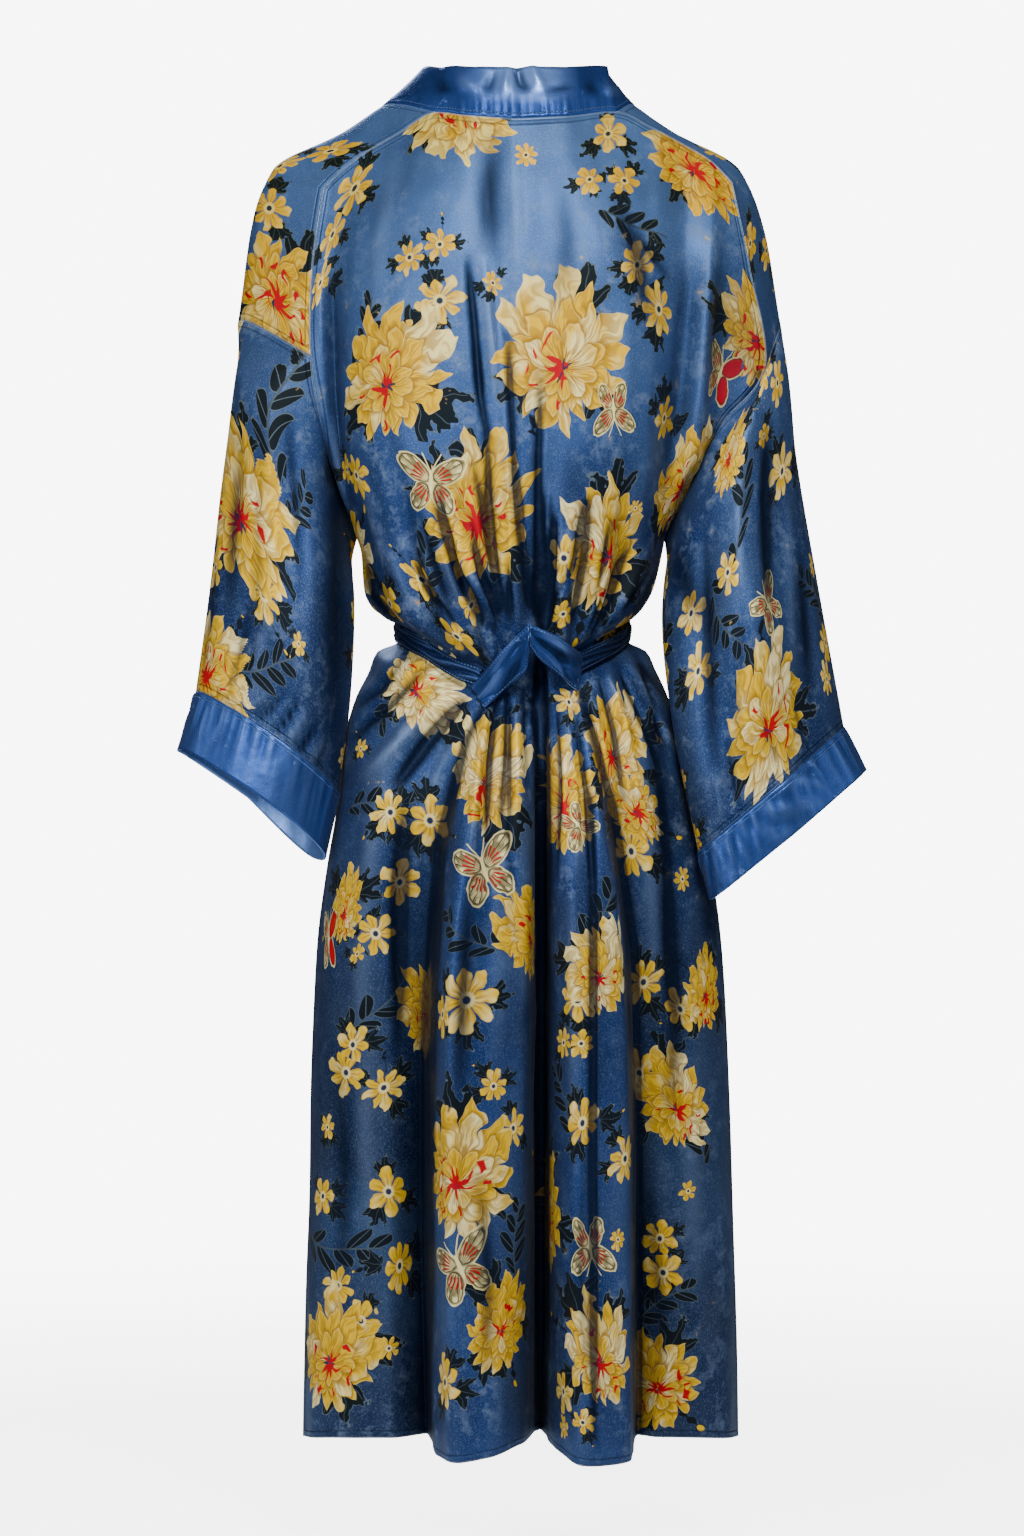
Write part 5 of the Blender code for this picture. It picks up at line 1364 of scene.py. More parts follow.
def placed_by_photo(grids, normals):
    """The motifs of the pixel tables, each on the nearest cloth that shows at its pixel."""
    seen = seen_places(grids, normals)
    motifs = []
    for kind, table in PLACED.items():
        for px, py, size, slim, turn, tint in table:
            away = np.hypot(seen[:, 3] - px, seen[:, 4] - py)
            near = seen[away < away.min() + SAME_SPOT_PX]
            spot = near[np.argmax(near[:, 5])]
            name = PRINTED[int(spot[0])]
            motifs.append({
                "kind": kind, "piece": name, "row": int(spot[1]), "column": int(spot[2]),
                "size": size * METRES_PER_PIXEL, "slim": slim, "turn": turn, "tint": tint,
            })
    return motifs


def strewn(grids, normals, motifs):
    """Motifs of the same kinds over the cloth that the photograph doesn't show."""
    chance = np.random.default_rng(SEED)
    added = []
    for name in PRINTED:
        grid = grids[name][0]
        hidden = normals[name][..., 1] < (0.0 if name == "back_panel" else SHOWN_OVER)
        rows, columns = np.nonzero(hidden)
        down, across = [np.linalg.norm(np.gradient(grid, axis=axis), axis=2) for axis in (0, 1)]
        weight = (down * across)[rows, columns]
        weight = weight / weight.sum()
        for kind, (size, spacing) in STREWN.items():
            tries = chance.choice(len(rows), size=STREWN_TRIES, p=weight)
            for pick in tries:
                spot = grid[rows[pick], columns[pick]]
                clear = all(
                    np.linalg.norm(spot - grid[m["row"], m["column"]])
                    > (spacing * MM if m["kind"] == kind else STREWN_NEAR * (m["size"] + size * MM))
                    for m in motifs + added
                    if m["piece"] == name
                )
                if not clear:
                    continue
                added.append({
                    "kind": kind, "piece": name, "row": int(rows[pick]), "column": int(columns[pick]),
                    "size": size * MM * chance.uniform(*STREWN_SIZES),
                    "slim": chance.uniform(*STREWN_SLIMS),
                    "turn": chance.uniform(*STREWN_TURNS),
                    "tint": chance.uniform(*STREWN_TINTS),
                })
    return added


def layered(motifs, grids):
    """Each layer's motifs: those of one kind that would overlap go to different layers."""
    layers = {f"{kind}_{k}": [] for kind, count in LAYERS.items() for k in range(count)}
    chance = np.random.default_rng(SEED)
    leaves = [
        {**m, "kind": "leaves", "size": m["size"] * LEAF_SPREAD[m["kind"]], "slim": 1.0}
        for m in motifs
        if m["kind"] in LEAFY and chance.random() < LEAFY[m["kind"]]
    ]
    for number, motif in enumerate(motifs + leaves):
        motif = {**motif, "seed": number % MOTIF_SEEDS + 1}
        grid = grids[motif["piece"]][0]
        spot = grid[motif["row"], motif["column"]]
        names = [f"{motif['kind']}_{k}" for k in range(LAYERS[motif["kind"]])]

        def crowding(layer):
            near = [
                np.linalg.norm(spot - grid[m["row"], m["column"]]) / (m["size"] + motif["size"])
                for m in layers[layer]
                if m["piece"] == motif["piece"]
            ]
            return min(near, default=FAR)

        layers[max(names, key=crowding)].append(motif)
    return layers


def print_fields(name, grid, ring, layers):
    """The place in its nearest motif, for every outer face's corners and every layer of the print."""
    across, down = lengths(grid, ring)
    wide = across.shape[1]
    fields = {}
    for layer, motifs in layers.items():
        kind = layer.rsplit("_", 1)[0]
        values = np.full(((len(grid) - 1) * (wide - 1), 4, 3), FAR)
        best = np.full(len(values), REACHES[kind])
        for motif in motifs:
            if motif["piece"] != name:
                continue
            r = motif["row"]
            c = motif["column"]
            right = across - across[:, c:c + 1]
            up = down[r:r + 1] - down
            if name in TURNED:
                right = -right
            place = corner_values(np.stack([right, up], axis=-1))
            if ring:
                girth = np.repeat((across[:-1, -1] + across[1:, -1]) / 2, wide - 1)
                middle = place[..., 0].mean(axis=1)
                place[..., 0] -= (np.round(middle / girth) * girth)[:, None]
            turn = math.radians(motif["turn"])
            x = place[..., 0] * math.cos(turn) - place[..., 1] * math.sin(turn)
            y = place[..., 0] * math.sin(turn) + place[..., 1] * math.cos(turn)
            x = x / (motif["size"] * motif["slim"])
            y = y / motif["size"]
            away = np.hypot(x.mean(axis=1), y.mean(axis=1))
            nearer = away < best
            best[nearer] = away[nearer]
            values[nearer, :, 0] = x[nearer]
            values[nearer, :, 1] = y[nearer]
            values[nearer, :, 2] = motif["seed"] + np.clip(motif["tint"], *TINT_RANGE)
        fields[layer] = values
    return fields


def cloth_field(name, grid, ring, fold):
    """Each outer corner's way down and distance from a sewn edge, in metres, and its crease's height
    with the shade beside it, for painted shade and highlight.
    """
    across, down = lengths(grid, ring)
    away = seam_distance(name, across, down)
    return corner_values(np.stack([down, away, closed(fold, ring)], axis=-1))


class Wire:
    """A number in a node tree, which ordinary arithmetic joins up."""

    def __init__(self, tree, socket):
        self.tree = tree
        self.socket = socket

    def math(self, operation, *others, clamp=False):
        node = self.tree.nodes.new("ShaderNodeMath")
        node.operation = operation
        node.use_clamp = clamp
        for place, value in enumerate((self,) + others):
            feed(self.tree, value, node.inputs[place])
        return Wire(self.tree, node.outputs[0])

    def __add__(self, other):
        return self.math("ADD", other)

    def __sub__(self, other):
        return self.math("SUBTRACT", other)

    def __mul__(self, other):
        return self.math("MULTIPLY", other)

    def __truediv__(self, other):
        return self.math("DIVIDE", other)

    def __rsub__(self, other):
        return self.math("MULTIPLY", -1.0).math("ADD", other)

    def __pow__(self, other):
        return self.math("POWER", other)

    __radd__ = __add__
    __rmul__ = __mul__

    def size(self):
        return self.math("ABSOLUTE")

    def part(self):
        return self.math("FRACT")

    def whole(self):
        return self.math("FLOOR")

    def least(self, other):
        return self.math("MINIMUM", other)

    def most(self, other):
        return self.math("MAXIMUM", other)

    def under(self, edge, soft):
        """1 where this is under the edge and 0 where it is over, with a soft change between."""
        if isinstance(edge, Wire):
            return ((edge - self) / soft).math("ADD", 0.5, clamp=True)
        return self.math("MULTIPLY_ADD", -1.0 / soft, edge / soft + 0.5, clamp=True)

    def over(self, edge, soft):
        """1 where this is over the edge and 0 where it is under, with a soft change between."""
        if isinstance(edge, Wire):
            return ((self - edge) / soft).math("ADD", 0.5, clamp=True)
        return self.math("MULTIPLY_ADD", 1.0 / soft, 0.5 - edge / soft, clamp=True)


def feed(tree, value, socket):
    """Joins a wire or a socket to a socket, or sets its value."""
    if isinstance(value, Wire):
        tree.links.new(value.socket, socket)
    elif isinstance(value, bpy.types.NodeSocket):
        tree.links.new(value, socket)
    else:
        socket.default_value = value


def fixed(node, values):
    """Sets a node's own sockets to constant values."""
    for name, value in values.items():
        node.inputs[name].default_value = value


def split(tree, vector):
    """The three numbers of a vector."""
    node = tree.nodes.new("ShaderNodeSeparateXYZ")
    tree.links.new(vector, node.inputs[0])
    return [Wire(tree, output) for output in node.outputs]


def joined(tree, x, y, z=0.0):
    """A vector from three numbers."""
    node = tree.nodes.new("ShaderNodeCombineXYZ")
    for value, socket in zip((x, y, z), node.inputs):
        feed(tree, value, socket)
    return node.outputs[0]


def noise(tree, vector, scale, detail=2.0, rough=0.5, kind="3D"):
    """Soft noise from 0 to 1 at a vector."""
    node = tree.nodes.new("ShaderNodeTexNoise")
    node.noise_dimensions = kind
    fixed(node, {"Scale": scale, "Detail": detail, "Roughness": rough})
    tree.links.new(vector, node.inputs["Vector"])
    return Wire(tree, node.outputs[0])


def chance_of(tree, first, second):
    """A number from 0 to 1 by chance, the same for the same two numbers."""
    node = tree.nodes.new("ShaderNodeTexWhiteNoise")
    node.noise_dimensions = "2D"
    tree.links.new(joined(tree, first, second), node.inputs["Vector"])
    return Wire(tree, node.outputs["Value"])


def mixed(tree, share, first, second, blend="MIX"):
    """Two colours mixed, or with MULTIPLY multiplied, by a share from 0 to 1."""
    node = tree.nodes.new("ShaderNodeMix")
    node.data_type = "RGBA"
    node.blend_type = blend
    feed(tree, share, node.inputs[0])
    for value, socket in ((first, node.inputs[6]), (second, node.inputs[7])):
        feed(tree, (*value, 1.0) if isinstance(value, tuple) else value, socket)
    return node.outputs[2]


class Paint:
    """A colour in a node tree, mixed from two, with coats of others laid over it by their shares."""

    def __init__(self, tree, share, first, second):
        self.tree = tree
        self.colour = mixed(tree, share, first, second)

    def lay(self, share, colour, blend="MIX"):
        self.colour = mixed(self.tree, share, self.colour, colour, blend)


def motif_group(name):
    """An empty node group for a motif, with its place as numbers: x, y, seed and tint."""
    tree = bpy.data.node_groups.new(name, "ShaderNodeTree")
    tree.interface.new_socket("Place", in_out="INPUT", socket_type="NodeSocketVector")
    tree.interface.new_socket("Colour", in_out="OUTPUT", socket_type="NodeSocketColor")
    tree.interface.new_socket("Cover", in_out="OUTPUT", socket_type="NodeSocketFloat")
    place = tree.nodes.new("NodeGroupInput").outputs[0]
    x, y, code = split(tree, place)
    return tree, x, y, code.whole(), code.part()


def give_out(tree, colour, cover):
    """Ends a motif's group: its colour, and 1 where its ink covers the cloth."""
    node = tree.nodes.new("NodeGroupOutput")
    feed(tree, colour, node.inputs[0])
    feed(tree, cover, node.inputs[1])
    return tree


# Colours of the print
GOLD = (0.74, 0.46, 0.012)
OCHRE = (0.30, 0.150, 0.0)
CREAM = (0.88, 0.76, 0.37)
RED = (0.46, 0.0, 0.004)
LEAF = (0.006, 0.009, 0.010)
LEAF_EDGE = (0.10, 0.14, 0.19)
OLIVE = (0.20, 0.17, 0.07)
EYE = (0.02, 0.03, 0.07)

# In every drawing 1 is the motif's half height, and a soft edge is given as its place and its width.
# How far below its middle a large flower's heart lies, against its half height
HEART_DROP = 0.24
# A large flower's rings of petals from the outside in: how many, their least reach and what chance adds
PEONY_RINGS = ((14, 0.90, 0.26), (11, 0.66, 0.24), (9, 0.40, 0.20))
STAMENS = 10
# A small flower: the least number of its petals and what chance adds, its heart's radius and its eye's
FLOWER_PETALS = (6.0, 3.0)
FLOWER_HEART = 0.24
FLOWER_EYE = 0.12
# A butterfly's wings and body, each an ellipse: middle, radii and turn in degrees
UPPER_WING = ((0.50, 0.38), (0.62, 0.32), 36)
LOWER_WING = ((0.34, -0.42), (0.30, 0.50), 24)
BUTTERFLY_BODY = ((0.0, 0.02), (0.055, 0.36), 0)
# The leaves round a flower: how many, and how far out each one starts
LEAVES_A_FLOWER = 3
LEAF_BASE = 0.36
# A spray's leaves: their spacing up the twig, how far they rise as they go out, and their half width
SPRAY_STEP = 0.46
SPRAY_RISE = 0.70
SPRAY_WIDTH = 0.185


def polar(x, y):
    """A place as its distance from the middle and its angle."""
    radius = (x * x + y * y) ** 0.5
    return radius, y.math("ARCTAN2", x)


def petal(tree, angle, count, seed):
    """A petal's number by chance and how far off its middle line a place is, 1 about at its side."""
    turn = angle * (count / (2 * math.pi)) + seed * 0.37
    number = turn.whole().math("FLOORED_MODULO", count)
    chance = chance_of(tree, number, seed)
    skew = (chance * 7.3).part() - 0.5
    return chance, ((turn.part() - 0.5) * 2.0 + skew * 0.5).size()


def clamped(wire):
    """A number kept between 0 and 1."""
    return wire.math("ADD", 0.0, clamp=True)


def peony():
    """A large flower of pointed petals in rings, its heart below the middle, with red stamens."""
    tree, x, y, seed, tint = motif_group("peony_print")
    spot = joined(tree, x + seed * 5.3, y)
    rough = noise(tree, spot, 2.2, 1.0, kind="2D") - 0.5
    fine = noise(tree, spot, 9.0, 0.0, kind="2D") - 0.5
    lean = chance_of(tree, seed, 1.0) - 0.5
    radius, angle = polar(x + lean * 0.35, y + HEART_DROP)
    bent = angle + rough * 0.55 + radius * lean * 0.5
    radius = radius + rough * 0.08 + fine * 0.05
    tall = 1.0 + angle.math("SINE") * HEART_DROP
    streak = noise(tree, joined(tree, bent * 4.5 + seed, radius * 1.4), 2.6, 1.0, 0.6, kind="2D")
    paint = cover = None
    for number, (count, least, more) in enumerate(PEONY_RINGS):
        chance, across = petal(tree, bent, float(count), seed + number * 5.0)
        tip = (least + chance * more) * tall
        reach = tip * (1.0 - across * 0.20 - (across ** 3.0) * 0.09)
        inside = radius.under(reach, 0.02)
        pale = clamped((tint * 0.9 + rough * 1.3 + chance - 0.92) * 2.4)
        own = Paint(tree, pale, GOLD, CREAM)
        shade = clamped(streak.over(0.49, 0.12) * (1.3 - radius / tip))
        own.lay(shade * 0.95, OCHRE)
        own.lay(across.over(0.85, 0.5) * 0.5, OCHRE)
        own.lay((reach - radius).under(0.022, 0.02) * 0.30, CREAM)
        if cover is None:
            paint = own
            cover = inside
            continue
        fall = (radius - reach).under(0.05, 0.07)
        paint.lay(fall * 0.85, OCHRE)
        paint.lay(inside, own.colour)
    chosen, beside = petal(tree, angle + rough * 1.8, float(STAMENS), seed + 9.0)
    stroke = beside * radius + fine * 0.06
    end = 0.12 + chosen * 0.28
    arm = stroke.under((end - radius) * 0.45 + 0.02, 0.03) * radius.under(end, 0.03)
    dab = stroke.under(0.12, 0.03) * (radius - end - 0.17).size().under(0.065, 0.02)
    splash = radius.under(0.13, 0.02) * fine.over(0.0, 0.05)
    red = (arm * chosen.over(0.34, 0.02)).most(dab * chosen.over(0.45, 0.02)).most(splash)
    paint.lay(red, RED)
    paint.lay(arm * chosen.under(0.20, 0.02), EYE)
    return give_out(tree, paint.colour, cover)


def small_flower():
    """A small flower of six to eight parted petals with a dark eye."""
    tree, x, y, seed, tint = motif_group("flower_print")
    rough = noise(tree, joined(tree, x + seed * 3.7, y), 2.2, 1.0, kind="2D") - 0.5
    radius, angle = polar(x, y)
    bent = angle + rough * 0.5
    count = FLOWER_PETALS[0] + (chance_of(tree, seed, 2.0) * FLOWER_PETALS[1]).whole()
    round_tips = 0.24 + chance_of(tree, seed, 4.0) * 0.20
    chance, across = petal(tree, bent, count, seed)
    reach = (0.80 + chance * 0.24) * (clamped(1.0 - across ** 1.6) ** round_tips)
    cover = radius.under(reach, 0.035).most(radius.under(FLOWER_HEART, 0.03))
    pale = clamped(tint * 0.9 + rough * 1.6 + chance * 0.4 - 0.38)
    paint = Paint(tree, pale, GOLD, CREAM)
    crease = across.under(0.20, 0.25) * (1.0 - radius).over(0.45, 0.5)
    paint.lay(crease * 0.8, OCHRE)
    paint.lay(across.over(0.62, 0.4) * 0.6, OCHRE)
    paint.lay(radius.under(FLOWER_HEART, 0.06) * 0.7, CREAM)
    paint.lay(radius.under(FLOWER_EYE, 0.04), EYE)
    return give_out(tree, paint.colour, cover)


def ellipse(x, y, place, radii, turn_deg):
    """How far out a place lies in an ellipse, where 1 is its edge."""
    turn = math.radians(turn_deg)
    dx = x - place[0]
    dy = y - place[1]
    along = (dx * math.cos(turn) + dy * math.sin(turn)) / radii[0]
    beside = (dy * math.cos(turn) - dx * math.sin(turn)) / radii[1]
    return (along * along + beside * beside) ** 0.5


def butterfly():
    """Four patterned wings, a thin body and two feelers."""
    tree, x, y, seed, tint = motif_group("butterfly_print")
    rough = noise(tree, joined(tree, x + seed * 2.9, y), 3.0, 1.0, kind="2D") - 0.5
    side = x.size() + rough * 0.12
    tall = y + rough * 0.12
    upper = ellipse(side, tall, *UPPER_WING)
    lower = ellipse(side, tall, *LOWER_WING)
    wings = upper.least(lower)
    cover = wings.under(1.0, 0.05)
    radius, angle = polar(side, tall - 0.05)
    ribs = (angle * 4.6 + seed).part()
    inner = wings.under(0.76, 0.04)
    paint = Paint(tree, clamped(rough * 2.0 + 0.12), OLIVE, CREAM)
    paint.lay(ribs.under(0.42, 0.08) * wings.over(0.5, 0.1) * inner * 0.75, CREAM)
    dash = ribs.under(0.36, 0.08) * (radius - 0.46).size().under(0.17, 0.05)
    paint.lay(dash * inner, RED)
    paint.lay(ribs.over(0.84, 0.08) * inner * 0.85, LEAF)
    flush = tint.over(0.62, 0.02) * wings.under(0.85, 0.05) * x.over(0.0, 0.05)
    paint.lay(flush, RED)
    paint.lay((wings - 0.80).size().under(0.035, 0.04) * 0.7, LEAF)
    paint.lay(wings.over(0.90, 0.05) * 0.8, CREAM)
    body = ellipse(x, y, *BUTTERFLY_BODY)
    feeler = (side - (tall - 0.3) * 0.5).size().under(0.018, 0.02)
    feeler = feeler * tall.over(0.32, 0.03) * tall.under(0.85, 0.03)
    drawn = body.under(1.0, 0.15).most(feeler)
    paint.lay(drawn, CREAM)
    return give_out(tree, paint.colour, cover.most(drawn))


def turned(x, y, bearing):
    """A place along and beside a bearing."""
    cosine = bearing.math("COSINE")
    sine = bearing.math("SINE")
    return x * cosine + y * sine, y * cosine - x * sine


def leaves():
    """Dark lobed leaves that show round a flower, and a thin stem with small leaves and a bud."""
    tree, x, y, seed, _ = motif_group("leaves_print")
    rough = noise(tree, joined(tree, x + seed * 4.1, y), 3.4, 1.0, kind="2D") - 0.5
    ragged = noise(tree, joined(tree, x, y + seed * 3.3), 11.0, 1.0, kind="2D") - 0.5
    spin = chance_of(tree, seed, 3.0) * (2 * math.pi)
    cover = vein = None
    for number in range(LEAVES_A_FLOWER):
        one = chance_of(tree, seed, 11.0 + number)
        other = chance_of(tree, seed, 21.0 + number)
        bearing = spin + one * 1.7 + 2 * math.pi * number / LEAVES_A_FLOWER
        along, beside = turned(x, y, bearing)
        radius, angle = polar(along - LEAF_BASE, beside)
        angle = angle + rough * 0.5
        lobes = (angle * 9.0).math("COSINE") * 0.20 + 0.80 + ragged * 0.5
        reach = (angle * 0.8).math("COSINE").most(0.0) * lobes * (0.36 + other * 0.26)
        inside = radius - reach
        line = (angle * 4.5).math("SINE").size() * radius + (radius - reach * 0.9).most(0.0)
        cover = inside if cover is None else cover.least(inside)
        vein = line if vein is None else vein.least(line)
    along, beside = turned(x, y, spin - 0.9)
    beside = beside - along * along * 0.28 + rough * 0.10
    ahead = along.over(0.35, 0.02) * along.under(0.94, 0.02)
    stem = beside.size().under(0.009, 0.012) * ahead
    sprig = ((along * 7.0).part() * math.pi).math("SINE") * 0.055
    small = beside.size().under(sprig, 0.012) * ahead * along.over(0.62, 0.02)
    bud = ((along - 0.93) * (along - 0.93) + beside * beside * 1.8) ** 0.5
    leaf = cover.under(0.0, 0.014)
    edge = cover.size().under(0.010, 0.014)
    paint = Paint(tree, edge, LEAF, LEAF_EDGE)
    paint.lay(vein.under(0.020, 0.02) * leaf * 0.5, LEAF_EDGE)
    bud_ink = bud.under(0.050, 0.015)
    paint.lay(bud_ink, GOLD)
    drawn = stem.most(small).most(bud_ink) * chance_of(tree, seed, 5.0).over(0.35, 0.02)
    return give_out(tree, paint.colour, leaf.most(edge).most(drawn))


def spray():
    """A bent twig with pairs of dark pointed leaves, edged and veined paler."""
    tree, x, y, seed, _ = motif_group("spray_print")
    beside = x - (y * 2.3 + seed).math("SINE") * 0.15
    out = beside.size()
    right = beside.over(0.0, 0.001)
    rise = y - out * SPRAY_RISE + right * 0.23
    cell = rise / SPRAY_STEP
    chance = chance_of(tree, cell.whole() + right * 9.0, seed)
    reach = (chance * 0.36 + 0.44) * (1.0 - y.size() * 0.4) * chance.over(0.08, 0.001)
    reach = reach.most(0.01)
    middle = ((cell.part() - 0.5) * SPRAY_STEP).size()
    swell = (clamped(out / reach + 0.10) * math.pi).math("SINE").most(0.0) ** 0.75
    inside = middle - swell * SPRAY_WIDTH
    limit = rise.size().under(0.90, 0.001) * out.under(reach, 0.01)
    leaf = inside.under(0.0, 0.014) * limit
    edge = inside.size().under(0.008, 0.014) * limit
    stem = out.under(0.026, 0.018) * y.size().under(0.90, 0.02)
    colour = mixed(tree, edge.most(middle.under(0.007, 0.012)).most(stem * 0.5), LEAF, LEAF_EDGE)
    return give_out(tree, colour, leaf.most(edge).most(stem))


# Satin: colours of the printed cloth from the shoulders to the hem, lighter above partly as painted
# light from above, of its worn marks, and of the trims
SHOULDER_BLUE = (0.072, 0.150, 0.340)
MIDDLE_BLUE = (0.013, 0.039, 0.150)
SKIRT_BLUE = (0.0050, 0.015, 0.056)
BUNDLE_HIGHLIGHT_BLUE = (0.013, 0.042, 0.175)
WORN_BLUE = (0.16, 0.23, 0.38)
WORN_GOLD = (0.36, 0.26, 0.10)
DUSTY_BLUE = (0.055, 0.072, 0.105)
PIPING_HIGHLIGHT_BLUE = (0.30, 0.40, 0.56)
DEEP_BLUE = (0.002, 0.005, 0.016)
TRIM_BLUE = (0.027, 0.070, 0.270)
TRIM_DARK = (0.008, 0.022, 0.090)
TRIM_PALE = (0.21, 0.37, 0.80)
INSIDE_BLUE = (0.010, 0.030, 0.095)
INSIDE_CLOUDY = (0.034, 0.075, 0.19)
INSIDE_PALE = (0.20, 0.26, 0.36)
# What the cloth of the sleeves and sides is multiplied by as painted shade, and the ink over the
# shoulders
SIDE_SHADE_TONE = (0.72, 0.74, 0.76)
AGED_INK = (0.80, 0.70, 0.30)
# How fast a trough darkens with painted shade and a ridge pales with painted highlight, with its depth
# in mm
TROUGH_SHADE = 0.42
RIDGE_LIGHT = 0.20
# How much like metal the bare satin, the trims and the printed ink reflect
SATIN_METAL = 0.50
TRIM_METAL = 0.62
INK_METAL = 0.25
# How much of the cloth's colour the print's ink covers
INK_COVER = 0.97
# Strengths of the printed cloth's marks: wear, flecks of gold, the bare satin's grain, and the painted
# shade in deep folds
WEAR = 0.55
FLECKS = 0.7
GRAIN = 1.2
DEEP_FOLD_SHADE = 0.88
# Where the printed cloth's tone changes: the middle of each change and its length, in metres. The first
# two are levels, from the lighter shoulders down to the darker skirt, partly the cloth's own tone and
# partly painted light from above. The bundle of folds, lighter with a painted highlight where it stands
# out, is behind a depth and below a level, and the sides, darker with painted shade, are beyond a
# distance from the middle and above a level.
SHOULDER_TONE = (-0.18, 0.36)
SKIRT_TONE = (-0.62, 0.60)
BUNDLE_BEHIND = (0.115, 0.05)
BUNDLE_BELOW = (-0.50, 0.10)
SIDES_BEYOND = (0.15, 0.12)
SIDES_ABOVE = (-0.78, 0.20)
SLEEVES_BEYOND = (0.19, 0.06)
# Noise: scale, detail and roughness
WEAVE = (640.0, 1.0, 0.6)
CLOUDS = (7.0, 2.0, 0.6)
STREAKS = (12.0, 2.0, 0.65)
WORN_SPOTS = (58.0, 3.0, 0.75)
WORN_PATCHES = (3.6, 0.0)
CRUMPLES = (40.0, 0.0)
TRIM_CLOUDS = (16.0, 4.0, 0.6)
TRIM_WORN = (60.0, 4.0, 0.7)
TRIM_CRUMPLES = (44.0, 2.0, 0.5)
INSIDE_CLOUDS = (12.0, 4.0, 0.6)
# The printed cloth's seams, in metres: the width and softness of the pale line, piping with a painted
# highlight on the seam's ridge, the stitch line's distance from the seam, and its half width and
# softness
PIPING = (0.0013, 0.0010)
STITCH_AWAY = 0.0060
STITCH_LINE = (0.0007, 0.0010)
# The pale seam line is brighter above one level and round the hem than between them, as painted
# highlight on the seams over the shoulders and on the hem's folded edge
PIPING_TOP = (-0.34, 0.06)
PIPING_HEM = (-1.10, 0.02)
# The trims' stitches: how many in a metre, and the line's half width and softness, in metres
TRIM_STITCHES = 330.0
TRIM_STITCH_LINE = (0.0005, 0.0008)
# The collar band behind the neck: above which level it is, how far out it darkens with painted shade,
# and its middle's painted highlight
NECK_ABOVE = (0.002, 0.02)
NECK_SHADE_ENDS = (0.058, 0.07)
NECK_MIDDLE_X = -0.008
NECK_HIGHLIGHT = (0.030, 0.04)
# Constant values on the satin shader's own sockets
SATIN_CONSTANTS = {
    "Specular IOR Level": 0.12,
    "Specular Tint": (0.50, 0.62, 0.85, 1.0),
    "Sheen Roughness": 0.4,
    "Sheen Tint": (0.80, 0.86, 1.0, 1.0),
}
BUMP_STRENGTH = 0.8
# Roughness before wear, depth of the bumps in metres, and sheen, of the printed cloth, trims and inside
PRINTED_ROUGH = 0.54
TRIM_ROUGH = 0.37
INSIDE_ROUGH = 0.58
CLOTH_BUMPS = 0.0010
TRIM_BUMPS = 0.0011
CLOTH_SHEEN = 0.02
TRIM_SHEEN = 0.03


def satin_shader(tree, colour, metal, rough, bump, depth, sheen):
    """The satin surface: what varies over the cloth, its bumps' depth in metres, and its sheen."""
    shader = tree.nodes["Principled BSDF"]
    feed(tree, colour, shader.inputs["Base Color"])
    feed(tree, rough, shader.inputs["Roughness"])
    feed(tree, metal, shader.inputs["Metallic"])
    fixed(shader, {**SATIN_CONSTANTS, "Sheen Weight": sheen})
    node = tree.nodes.new("ShaderNodeBump")
    fixed(node, {"Strength": BUMP_STRENGTH, "Distance": depth})
    feed(tree, bump, node.inputs["Height"])
    tree.links.new(node.outputs[0], shader.inputs["Normal"])


def new_material(name):
    """A material and its node tree."""
    material = bpy.data.materials.new(name)
    material.use_nodes = True
    return material, material.node_tree


def attribute(tree, name):
    """A field that is stored on the mesh."""
    node = tree.nodes.new("ShaderNodeAttribute")
    node.attribute_name = name
    return node.outputs["Vector"]


def weave(tree, spot):
    """The satin's grain: fine floats that run down the cloth."""
    x, y, z = split(tree, spot)
    return noise(tree, joined(tree, x * 1.5, y * 1.5, z), *WEAVE)


def nearest_place(tree, layers):
    """The place in whichever layer's motif is nearer its middle."""
    best = size = None
    for layer in layers:
        place = attribute(tree, layer)
        x, y, _ = split(tree, place)
        away = x * x + y * y
        if best is None:
            best = place
            size = away
            continue
        nearer = away.math("LESS_THAN", size)
        node = tree.nodes.new("ShaderNodeMix")
        node.data_type = "VECTOR"
        feed(tree, nearer, node.inputs[0])
        feed(tree, best, node.inputs[4])
        feed(tree, place, node.inputs[5])
        best = node.outputs[1]
        size = size.least(away)
    return best


